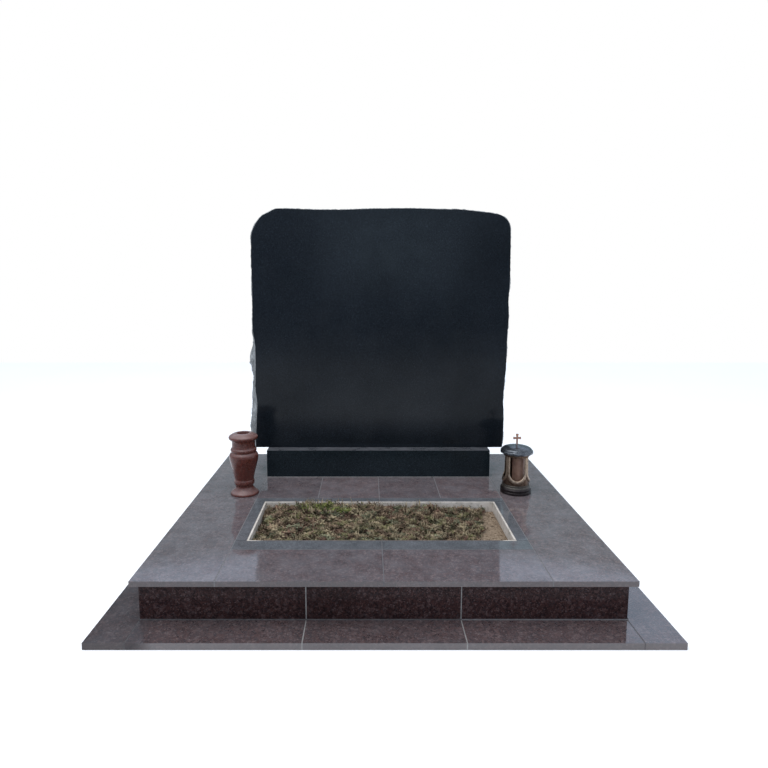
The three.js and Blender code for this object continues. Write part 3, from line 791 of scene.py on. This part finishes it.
def grout_base_foot():
    """A thin line of mortar pressed out all round the foot of the headstone's base."""
    lo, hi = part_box("headstone_base")
    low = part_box("cover_rear_1")[1].z
    top = low + FILLET
    strips = [
        ((lo.x - FILLET, lo.y - FILLET, low), (hi.x + FILLET, lo.y, top)),
        ((lo.x - FILLET, hi.y, low), (hi.x + FILLET, hi.y + FILLET, top)),
        ((lo.x - FILLET, lo.y, low), (lo.x, hi.y, top)),
        ((hi.x, lo.y, low), (hi.x + FILLET, hi.y, top)),
    ]
    add_grout("grout_base_foot", strips)


# Headstone

AROUND_STEP = 4.2 * MM
ACROSS_ROWS = 34
RING_STEPS = 12
ROW_CROWDING = 0.35  # how far the rows across the edge crowd towards its two arrises
SCOOP_SIZE = 52 * MM
SCOOP_DEPTH = 9.5 * MM
SCOOP_LEVEL = 0.55  # the scoop's value that leaves the edge where it is
QUIET_SHARE = 0.4  # depth of the scoops where the side stands out little
LIVELY_STAND = 30 * MM  # and how far it stands out where they have their full depth
FLAKE_SIZE = 17 * MM
FLAKE_DEPTH = 2.4 * MM
FLAKE_LEVEL = 0.5
CRUMB_SCALE = 170
CRUMB_DEPTH = 0.6 * MM
ARRIS_CHIP = 1.8 * MM
ARRIS_SHARE = 1 / 9  # of the thickness, over which the roughness dies away to the polished faces


def station_rings(node):
    """The solid's outline at each of its depths, from the foot of the left side round to the right."""
    points = {tuple(round(c, 5) for c in v.co) for v in NODES[node].data.vertices}
    lo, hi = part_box(node)
    middle = Vector(((lo.x + hi.x) / 2, (lo.z + hi.z) / 2))
    rings = []
    for depth in sorted({p[1] for p in points}):
        ring = [Vector((x, z)) for x, y, z in points if y == depth]

        def turn(p):
            angle = math.atan2(p.y - middle.y, p.x - middle.x)
            return -angle if angle > -math.pi / 2 else -angle - 2 * math.pi

        rings.append((depth, sorted(ring, key=turn)))
    return rings


def scoops(place, size):
    """0 in the middle of a flake scar, rising to 1 on the ridge between two."""
    near = noise.voronoi(place / size)[0]
    return min(1.0, (near[0] / max(near[1], 1e-6)) ** 2)


def even_grid(rings):
    """The rings drawn as smooth curves, with their points evenly spaced, by depth, point and x or z."""
    paths = [curve_through([(p.x, p.y, 0) for p in ring], RING_STEPS) for _, ring in rings]
    grid = np.array([[(p.x, p.y) for p in path] for path in paths])
    lengths = np.concatenate([[0], np.cumsum(np.linalg.norm(np.diff(grid[0], axis=0), axis=1))])
    count = int(lengths[-1] / AROUND_STEP)
    even = np.linspace(0, lengths[-1], count + 1)
    return np.stack([[np.interp(even, lengths, level[:, k]) for k in (0, 1)] for level in grid])


def roughness_at(spot, lively, reach):
    """How far the broken edge stands out at a spot. reach is 0 at an arris and 1 well away from it."""
    scoop = scoops(spot + Vector((3.1, 0.7, 1.9)), SCOOP_SIZE) - SCOOP_LEVEL
    flake = scoops(spot * 1.03 + Vector((0.2, 5.0, 0.4)), FLAKE_SIZE) - FLAKE_LEVEL
    crumb = noise.noise(spot * CRUMB_SCALE)
    out = reach * (SCOOP_DEPTH * lively * scoop + FLAKE_DEPTH * flake + CRUMB_DEPTH * crumb)
    nick = max(0.0, noise.noise(spot * 38 + Vector((9, 9, 9)))) + 0.4 * abs(noise.noise(spot * 120))
    return out - ARRIS_CHIP * nick * (1 - reach)


def add_headstone():
    """The slab with flat polished faces and a broken edge, from the foot round to the other foot."""
    rings = station_rings("headstone")
    lo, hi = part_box("headstone")
    depths = np.array([depth for depth, _ in rings])
    grid = even_grid(rings)
    count = grid.shape[2] - 1
    stand = np.linalg.norm(grid[len(depths) // 2] - grid[0], axis=0)
    lively = np.clip(QUIET_SHARE + (1 - QUIET_SHARE) * stand / LIVELY_STAND, QUIET_SHARE, 1.0)
    shares = 0.5 - 0.5 * np.cos(np.linspace(0, math.pi, ACROSS_ROWS + 1))
    shares = ROW_CROWDING * shares + (1 - ROW_CROWDING) * np.linspace(0, 1, ACROSS_ROWS + 1)
    front, back = depths[0], depths[-1]
    verts = []
    for share in shares:
        y = front + (back - front) * share
        outline = np.array([[np.interp(y, depths, grid[:, k, i]) for i in range(count + 1)] for k in (0, 1)])
        slope = np.gradient(outline, axis=1)
        slope /= np.linalg.norm(slope, axis=0)
        reach = min(1.0, share / ARRIS_SHARE, (1 - share) / ARRIS_SHARE)
        for i in range(count + 1):
            x, z = outline[0, i], outline[1, i]
            out = roughness_at(Vector((x, y, z)), lively[i], reach)
            x -= slope[1, i] * out
            z = min(hi.z, max(lo.z, z + slope[0, i] * out))
            if i in (0, count):
                z = lo.z
            verts.append((x, y, z))
    width = count + 1
    faces = [face[1:] + face[:1] for face in quads(ACROSS_ROWS + 1, width)]
    edge = len(faces)
    last = ACROSS_ROWS * width
    faces.append(tuple(range(width)))
    faces.append(tuple(last + i for i in reversed(range(width))))
    faces.append(tuple([row * width for row in range(ACROSS_ROWS, -1, -1)]
                       + [row * width + count for row in range(ACROSS_ROWS + 1)]))
    face, broken = 0, 1
    slots = [broken] * edge + [face, face, broken]
    smooth = [True] * edge + [False] * 3
    piece = add_piece("headstone_stone", verts, faces, [MATERIALS["black"], MATERIALS["pitched"]],
                      slots, smooth)
    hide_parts("headstone")


# Vase. Its outline is in shares of its greatest radius and of its height.

VASE_BORE = 0.397
VASE_BORE_FLOOR = 0.349
VASE_RUNS = [
    [(0.0, 0.0), (0.945, 0.0)],
    [(0.963, 0.005), (0.965, 0.016), (0.948, 0.03), (0.9, 0.042), (0.83, 0.053)],
    [(0.755, 0.067), (0.67, 0.09), (0.61, 0.114), (0.595, 0.13), (0.6, 0.15)],
    [(0.645, 0.158), (0.685, 0.175), (0.695, 0.2), (0.68, 0.225), (0.65, 0.238)],
    [(0.655, 0.257), (0.69, 0.3), (0.77, 0.381), (0.86, 0.457), (0.948, 0.54), (0.988, 0.596)],
    [(0.998, 0.621), (0.98, 0.648), (0.93, 0.668), (0.87, 0.684)],
    [(0.848, 0.695), (0.862, 0.707)],
    [(0.884, 0.714), (0.888, 0.729), (0.878, 0.743), (0.83, 0.756)],
    [(0.797, 0.77), (0.785, 0.79), (0.785, 0.845), (0.795, 0.868)],
    [(0.85, 0.885), (0.94, 0.9), (0.985, 0.912)],
    [(1.0, 0.922), (1.0, 0.934), (0.985, 0.946)],
    [(0.9, 0.963), (0.78, 0.98), (0.66, 0.992), (0.54, 0.999), (0.47, 1.0)],
    [(0.425, 0.9975), (VASE_BORE, 0.988)],
    [(VASE_BORE, VASE_BORE_FLOOR + 0.02)],
    [(VASE_BORE - 0.03, VASE_BORE_FLOOR), (0.0, VASE_BORE_FLOOR)],
]


def add_vase():
    lo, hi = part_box("vase")
    runs = scaled(VASE_RUNS, (hi.x - lo.x) / 2, hi.z - lo.z)
    turned("vase_turned", "vase", runs, MATERIALS["red"], 96, 6)


# Lantern

SCALLOPS = 14
SCALLOP_DEPTH = 0.035
WINDOW_STEP = math.radians(90)
WINDOW_TURN = math.radians(-9)
WINDOW_RIB = 22 * MM
WINDOW_SILL = 26 * MM
WINDOW_HEAD = 12 * MM
BODY_TAPER = 2 * MM
LANTERN_STEP = 3 * MM
BASE_ROUNDING = 2 * MM
BASE_GROOVE = 3 * MM
LID_FLANGE = 59 * MM
RIM_WIDTH = 13 * MM
RIM_SILL_WIDTH = 19 * MM
RIM_RISE = 4.5 * MM
RIM_FULLNESS = 0.6
RIM_OVERLAP = 1 * MM  # how far a rim reaches over the window's edge
RIM_SINK = 1.2 * MM  # and into the body
RIM_CREASE = 50
BODY_CREASE = 30
CROSS_ARRIS = 1.2 * MM


def add_lantern_base():
    """Two rounded mouldings with a groove between them, under a raised seat for the body."""
    lo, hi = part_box("lantern_base")
    radius = (hi.x - lo.x) / 2
    body_lo, body_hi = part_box("lantern_body")
    seat = (body_hi.x - body_lo.x) / 2 + LANTERN_STEP
    groove = radius - BASE_GROOVE
    rounding = radius - BASE_ROUNDING
    runs = [
        [(0, 0), (radius - 1 * MM, 0)],
        [(radius, 0.04), (radius, 0.22), (rounding, 0.27)],
        [(groove, 0.3), (rounding, 0.33)],
        [(radius, 0.38), (radius, 0.52), (rounding, 0.58)],
        [(seat + 4 * MM, 0.66), (seat + 1 * MM, 0.78)],
        [(seat, 0.82), (seat, 0.96), (seat - 1.2 * MM, 1)],
        [(0, 1)],
    ]
    runs = scaled(runs, 1, hi.z - lo.z)
    turned("lantern_foot", "lantern_base", runs, MATERIALS["dark_metal"], 80, 4)


def add_lantern_lid():
    """A flat dome over a thick scalloped rim, hollow below."""
    lo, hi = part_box("lantern_lid")
    radius = (hi.x - lo.x) / 2
    height = hi.z - lo.z

    def scallop(angle, r, z):
        rim = max(0.0, 1 - z / (0.42 * height)) * max(0.0, r / radius - 0.75) * 4
        return 1 - SCALLOP_DEPTH * min(1.0, 1.6 * rim) * (1 - abs(math.cos(SCALLOPS * angle / 2)))

    flange = LID_FLANGE / radius
    runs = [
        [(0, 0.8), (0.4 * flange, 0.74), (0.8 * flange, 0.62), (flange, 0.4)],
        [(flange, 0)],
        [(0.95, 0)],
        [(0.985, 0.03), (1, 0.1), (1, 0.22), (0.985, 0.31), (0.95, 0.37)],
        [(0.915, 0.4)],
        [(0.9, 0.5), (0.8, 0.65), (0.58, 0.785), (0.3, 0.87), (0.12, 0.91)],
        [(0.09, 0.94), (0.073, 1)],
        [(0, 1)],
    ]
    runs = scaled(runs, radius, height)
    turned("lantern_roof", "lantern_lid", runs, MATERIALS["lid_metal"], 168, 5, scallop)


def window_edge(half, sill, head, steps=16):
    """Points on a window's edge, as (across, up, outward across, outward up, share of the way to the
    bottom of the sill), from its head down, round the sill and up again."""
    low = sill + half
    left = [(-half, head + (low - head) * k / 6, -1, 0, 0) for k in range(6)]
    arc = []
    for k in range(steps + 1):
        angle = math.pi + math.pi * k / steps
        out = (math.cos(angle), math.sin(angle))
        arc.append((half * out[0], low + half * out[1], *out, -out[1]))
    right = [(-across, up, -out_x, out_y, share) for across, up, out_x, out_y, share in reversed(left)]
    return left + arc + right


def rim_section(width):
    """A rounded band from just inside a window's edge outwards, as (offset, height over the body)."""
    steps = 8
    top = [(-RIM_OVERLAP + (width + RIM_OVERLAP) * k / steps,
            RIM_RISE * math.sin(math.pi * k / steps) ** RIM_FULLNESS)
           for k in range(steps + 1)]
    return top + [(width, -RIM_SINK), (-RIM_OVERLAP, -RIM_SINK)]


def add_window_rims():
    """Raised rims round the windows, bent to the body."""
    lo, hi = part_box("lantern_body")
    centre = Vector((*centre_of("lantern_body"), lo.z))
    foot_radius = (hi.x - lo.x) / 2
    top_radius = foot_radius - BODY_TAPER
    height = hi.z - lo.z
    half = top_radius * math.sin(WINDOW_STEP / 2 - math.asin(WINDOW_RIB / 2 / top_radius))
    verts = []
    faces = []
    for side in (-1, 0, 1):
        turn = -math.pi / 2 + WINDOW_TURN + side * WINDOW_STEP
        edge = window_edge(half, WINDOW_SILL, height - WINDOW_HEAD)
        start = len(verts)
        for across, up, out_x, out_y, share in edge:
            section = rim_section(RIM_WIDTH + (RIM_SILL_WIDTH - RIM_WIDTH) * share)
            for offset, rise in section:
                level = up + out_y * offset
                radius = foot_radius - BODY_TAPER * level / height
                angle = turn + math.asin(across / radius) + out_x * offset / radius
                out = Vector((math.cos(angle), math.sin(angle), 0))
                verts.append(centre + out * (radius + rise) + Vector((0, 0, level)))
        sides = len(section)
        faces += quads(len(edge), sides, start, closed=True)
        faces.append(tuple(start + s for s in reversed(range(sides))))
        faces.append(tuple(start + (len(edge) - 1) * sides + s for s in range(sides)))
    piece = add_piece("lantern_window_rims", verts, faces, [MATERIALS["rim"]])
    split_creases(piece, RIM_CREASE)


def dress_lantern():
    set_material("lantern_body", MATERIALS["bronze"])
    set_material("lantern_glass", MATERIALS["glass"])
    set_material("lantern_cross", MATERIALS["gilt"])
    soften_edges("lantern_cross", CROSS_ARRIS)
    for node in ("lantern_body", "lantern_glass"):
        for polygon in NODES[node].data.polygons:
            polygon.use_smooth = True
        split_creases(NODES[node], BODY_CREASE)
    add_lantern_base()
    add_lantern_lid()
    add_window_rims()


# Bed

LEAF_KINDS = {
    "olive": ((0.070, 0.064, 0.028), (0.225, 0.20, 0.10)),
    "brown": ((0.095, 0.064, 0.040), (0.26, 0.185, 0.12)),
    "green": ((0.060, 0.074, 0.018), (0.21, 0.225, 0.065)),
    "straw": ((0.17, 0.13, 0.078), (0.37, 0.30, 0.19)),
    "sage": ((0.080, 0.083, 0.046), (0.235, 0.23, 0.145)),
    "russet": ((0.068, 0.036, 0.026), (0.185, 0.112, 0.076)),
}


SOIL_CELLS = (160, 64)
SOIL_SINK = 2 * MM
SOIL_LUMP = 3.5 * MM
LUMP_SCALE = 26


def add_soil():
    """The soil with a lumpy top that stays low at its rim."""
    lo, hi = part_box("soil")
    columns, rows = SOIL_CELLS
    verts = []
    for layer in (0, 1):
        for j in range(rows + 1):
            for i in range(columns + 1):
                x = lo.x + (hi.x - lo.x) * i / columns
                y = lo.y + (hi.y - lo.y) * j / rows
                edge = min(i, columns - i, j, rows - j)
                lump = noise.fractal(Vector((x, y, 0)) * LUMP_SCALE, 0.9, 2.1, 4)
                z = lo.z if layer == 0 else hi.z - SOIL_SINK + (SOIL_LUMP * lump if edge else 0)
                verts.append((x, y, z))
    width = columns + 1
    top = width * (rows + 1)
    faces = quads(rows + 1, width, top)
    rim = list(range(columns)) + [columns + j * width for j in range(rows)]
    rim += [rows * width + i for i in range(columns, 0, -1)] + [j * width for j in range(rows, 0, -1)]
    for a, b in zip(rim, rim[1:] + rim[:1]):
        faces.append((a, b, top + b, top + a))
    faces.append(tuple(reversed(rim)))
    piece = add_piece("soil_bed", verts, faces, [MATERIALS["soil"]])
    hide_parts("soil")


# A clod starts as an icosahedron of radius 1
CLOD_CORNERS = [Vector(p).normalized() for p in (
    (0, -1, 1.6), (0, 1, 1.6), (0, -1, -1.6), (0, 1, -1.6), (-1, 1.6, 0), (1, 1.6, 0),
    (-1, -1.6, 0), (1, -1.6, 0), (1.6, 0, -1), (1.6, 0, 1), (-1.6, 0, -1), (-1.6, 0, 1))]
CLOD_SIDES = [
    (0, 1, 11), (0, 9, 1), (0, 7, 9), (0, 6, 7), (0, 11, 6), (1, 5, 4), (1, 4, 11), (1, 9, 5),
    (2, 3, 8), (2, 10, 3), (2, 8, 7), (2, 7, 6), (2, 6, 10), (3, 4, 5), (3, 5, 8), (3, 10, 4),
    (4, 10, 11), (6, 11, 10), (5, 9, 8), (7, 8, 9),
]
CLODS = 260
CLOD_SEED = 11
CLOD_RADII = (1.5 * MM, 4.5 * MM)
LARGE_CLODS = 0.12  # this share of them is larger
LARGE_CLOD = 1.6  # by this factor
CLOD_SPREAD = 70 * MM  # how thinly they lie away from the end of the bed
CLOD_MARGINS = (4 * MM, 6 * MM)


def add_clods():
    """Small clods and stones on the bare end of the bed."""
    lo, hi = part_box("soil")
    pick = random.Random(CLOD_SEED)
    end, edge = CLOD_MARGINS
    verts = []
    faces = []
    for _ in range(CLODS):
        x = hi.x - end - abs(pick.gauss(0, CLOD_SPREAD))
        y = pick.uniform(lo.y + edge, hi.y - edge)
        size = pick.uniform(*CLOD_RADII) * (LARGE_CLOD if pick.random() < LARGE_CLODS else 1)
        turn = Matrix.Rotation(pick.uniform(0, math.tau), 3, "Z")
        flat = Vector((1, pick.uniform(0.7, 1), pick.uniform(0.5, 0.8)))
        start = len(verts)
        for p in CLOD_CORNERS:
            q = turn @ Vector((p.x * flat.x, p.y * flat.y, p.z * flat.z))
            verts.append(Vector((x, y, hi.z)) + q * size * pick.uniform(0.85, 1.15))
        faces += [tuple(start + i for i in side) for side in CLOD_SIDES]
    add_piece("soil_clods", verts, faces, [MATERIALS["soil"]], smooth=False)


# One leaf is a fleshy spindle: a base point, four points round its thickest place, and a tip.
LEAF_SHAPE = np.array([
    (0, 0, 0), (0.55, 0.5, 0.02), (0.55, 0, 0.34), (0.55, -0.5, 0.02), (0.5, 0, -0.3), (1, 0, 0.1),
])
LEAF_FACES = [(0, 2, 1), (0, 3, 2), (0, 4, 3), (0, 1, 4), (5, 1, 2), (5, 2, 3), (5, 3, 4), (5, 4, 1)]


class LeafHeap:
    """Leaves collected into one mesh, with a material slot for each kind of leaf."""

    def __init__(self):
        self.verts = []
        self.faces = []
        self.slots = []

    def add(self, root, heading, lift, length, width, kind):
        turn = Matrix.Rotation(heading, 3, "Z") @ Matrix.Rotation(-lift, 3, "Y")
        start = len(self.verts)
        for x, y, z in LEAF_SHAPE:
            self.verts.append(root + turn @ Vector((x * length, y * width, z * width)))
        self.faces += [tuple(start + i for i in f) for f in LEAF_FACES]
        self.slots += [kind] * len(LEAF_FACES)

    def finish(self, name, materials):
        return add_piece(name, self.verts, self.faces, materials, self.slots)


ROSETTE_RINGS = ((5, 0.25, 1.0), (5, 0.7, 0.8), (4, 1.15, 0.55))  # leaves, their lift and share of the size


def rosette(heap, root, size, kind, pick):
    for count, lift, share in ROSETTE_RINGS:
        first = pick.uniform(0, math.tau)
        for k in range(count):
            heading = first + math.tau * k / count + pick.uniform(-0.25, 0.25)
            length = size * share * pick.uniform(0.85, 1.1)
            heap.add(root, heading, lift + pick.uniform(-0.12, 0.12), length, length * 0.5, kind)


LEAF_TURN = 2.4  # from each leaf on a stem to the next, in radians


def tuft(heap, root, size, kind, pick):
    """Short stems, each with a few small leaves up its length."""
    for _ in range(5):
        lean = Vector((pick.uniform(-1, 1), pick.uniform(-1, 1), 0)) * size * 0.55
        top = root + lean + Vector((0, 0, size * pick.uniform(0.6, 1.1)))
        first = pick.uniform(0, math.tau)
        for k in range(4):
            spot = root.lerp(top, 0.35 + 0.2 * k)
            length = size * pick.uniform(0.28, 0.42)
            heap.add(spot, first + LEAF_TURN * k, pick.uniform(0.2, 0.8), length, length * 0.42, kind)


def blades(heap, root, size, kind, pick):
    """Dry grass blades from one root."""
    for _ in range(6):
        length = size * pick.uniform(0.9, 1.7)
        heap.add(root, pick.uniform(0, math.tau), pick.uniform(0.8, 1.4), length, size * 0.13, kind)


SPRIG_WIDTH = 2.2 * MM
SPRIG_LEAF = (7 * MM, 12 * MM)


def sprig(heap, root, height, kind, pick):
    """One thin upright stem with small leaves up to its tip."""
    heading = pick.uniform(0, math.tau)
    lift = pick.uniform(1.2, 1.5)
    heap.add(root, heading, lift, height, SPRIG_WIDTH, kind)
    along = Vector((math.cos(lift) * math.cos(heading), math.cos(lift) * math.sin(heading), math.sin(lift)))
    for k in range(7):
        length = pick.uniform(*SPRIG_LEAF)
        spot = root + along * height * (0.4 + 0.085 * k)
        heap.add(spot, heading + LEAF_TURN * k, pick.uniform(0.1, 0.7), length, length * 0.45, kind)


# Middle of the greenest clump, as a share of the bed's width from its middle and of its depth
GREEN_PATCH = (-0.23, 0.88)
GREEN_REACH = (0.08, 0.10)
SPRIG_ROW = 0.7  # sprigs stand in the back part of the bed, from this share of its depth
SPRIG_STAND = 20 * MM  # how far they rise over the other plants at most
SPRIG_CHANCE = 0.4
GREEN_MIX = ("green", "green", "green", "olive")
PALE_MIX = ("olive", "sage", "brown", "straw")
DULL_MIX = ("brown", "brown", "olive", "straw", "russet", "sage")
PLANT_GRID = (50, 20)
PLANT_SEED = 23
LEAST_PLANT = 12 * MM
HEAVE = 0.3  # how much the plants rise and fall over the solid, as a share of their height


def leaf_kind(x, y, pick):
    """The kind of plant at a place: green ones in one clump, and paler or duller ones in patches."""
    lo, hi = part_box("soil")
    patch_x = (lo.x + hi.x) / 2 + GREEN_PATCH[0] * (hi.x - lo.x)
    patch_y = lo.y + GREEN_PATCH[1] * (hi.y - lo.y)
    green = math.exp(-((x - patch_x) / GREEN_REACH[0]) ** 2 - ((y - patch_y) / GREEN_REACH[1]) ** 2)
    if pick.random() < 0.95 * green:
        return pick.choice(GREEN_MIX)
    if noise.noise(Vector((x, y, 0)) * 7) > 0.12:
        return pick.choice(PALE_MIX)
    return pick.choice(DULL_MIX)


def add_plant(heap, root, height, kinds, name, pick):
    """One plant: a rosette over another, a tuft or a few blades."""
    size = min(38 * MM, 14 * MM + 0.5 * height)
    form = pick.random()
    if form < 0.5:
        rosette(heap, root + Vector((0, 0, height * 0.42)), size, kinds[name], pick)
        rosette(heap, root, size * 1.15, kinds["russet" if form < 0.2 else "brown"], pick)
    elif form < 0.92:
        tuft(heap, root, max(size, 0.75 * height), kinds[name], pick)
    else:
        blades(heap, root + Vector((0, 0, 0.3 * height)), size * 1.1, kinds["straw"], pick)


def add_planting():
    """Plants over the whole of the ground cover's solid, as high as it is at each place."""
    solid = NODES["ground_cover"].data
    tree = BVHTree.FromPolygons([v.co for v in solid.vertices], [p.vertices for p in solid.polygons])
    lo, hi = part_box("ground_cover")
    soil_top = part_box("soil")[1].z
    materials = [leaf_material(f"leaf_{name}", *colours) for name, colours in LEAF_KINDS.items()]
    kinds = {name: i for i, name in enumerate(LEAF_KINDS)}
    pick = random.Random(PLANT_SEED)
    columns, rows = PLANT_GRID
    heaps = [LeafHeap(), LeafHeap()]
    room = hi.z - soil_top
    for j in range(rows):
        for i in range(columns):
            x = lo.x + (hi.x - lo.x) * (i + pick.uniform(0.05, 0.95)) / columns
            y = lo.y + (hi.y - lo.y) * (j + pick.uniform(0.05, 0.95)) / rows
            hit = tree.ray_cast(Vector((x, y, hi.z + 0.1)), Vector((0, 0, -1)))[0]
            if hit is None:
                continue
            name = leaf_kind(x, y, pick)
            heave = 1 + HEAVE * noise.noise(Vector((x, y, 0.5)) * 17)
            height = min(room / (1 + HEAVE), max(LEAST_PLANT, (hit.z - soil_top) * heave))
            root = Vector((x, y, soil_top + 0.15 * height))
            heap = heaps[0 if x < 0 else 1]
            add_plant(heap, root, height, kinds, name, pick)
            if j > SPRIG_ROW * rows and pick.random() < SPRIG_CHANCE:
                reach = min(0.8 * room, height + pick.uniform(0.2, 1) * SPRIG_STAND)
                sprig(heap, root, reach, kinds[pick.choice((name, "russet", "brown"))], pick)
    for heap, name in zip(heaps, ("planting_left", "planting_right")):
        piece = heap.finish(name, materials)
        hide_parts("ground_cover")


BASE_ARRIS = 1.5 * MM


add_camera()
add_studio()
dress_slabs()
grout_cover()
grout_kerb()
grout_platform()
grout_base_foot()
set_material("concrete_kerb", MATERIALS["concrete"])
set_material("headstone_base", MATERIALS["base"])
soften_edges("headstone_base", BASE_ARRIS)
add_headstone()
add_vase()
dress_lantern()
add_soil()
add_clods()
add_planting()
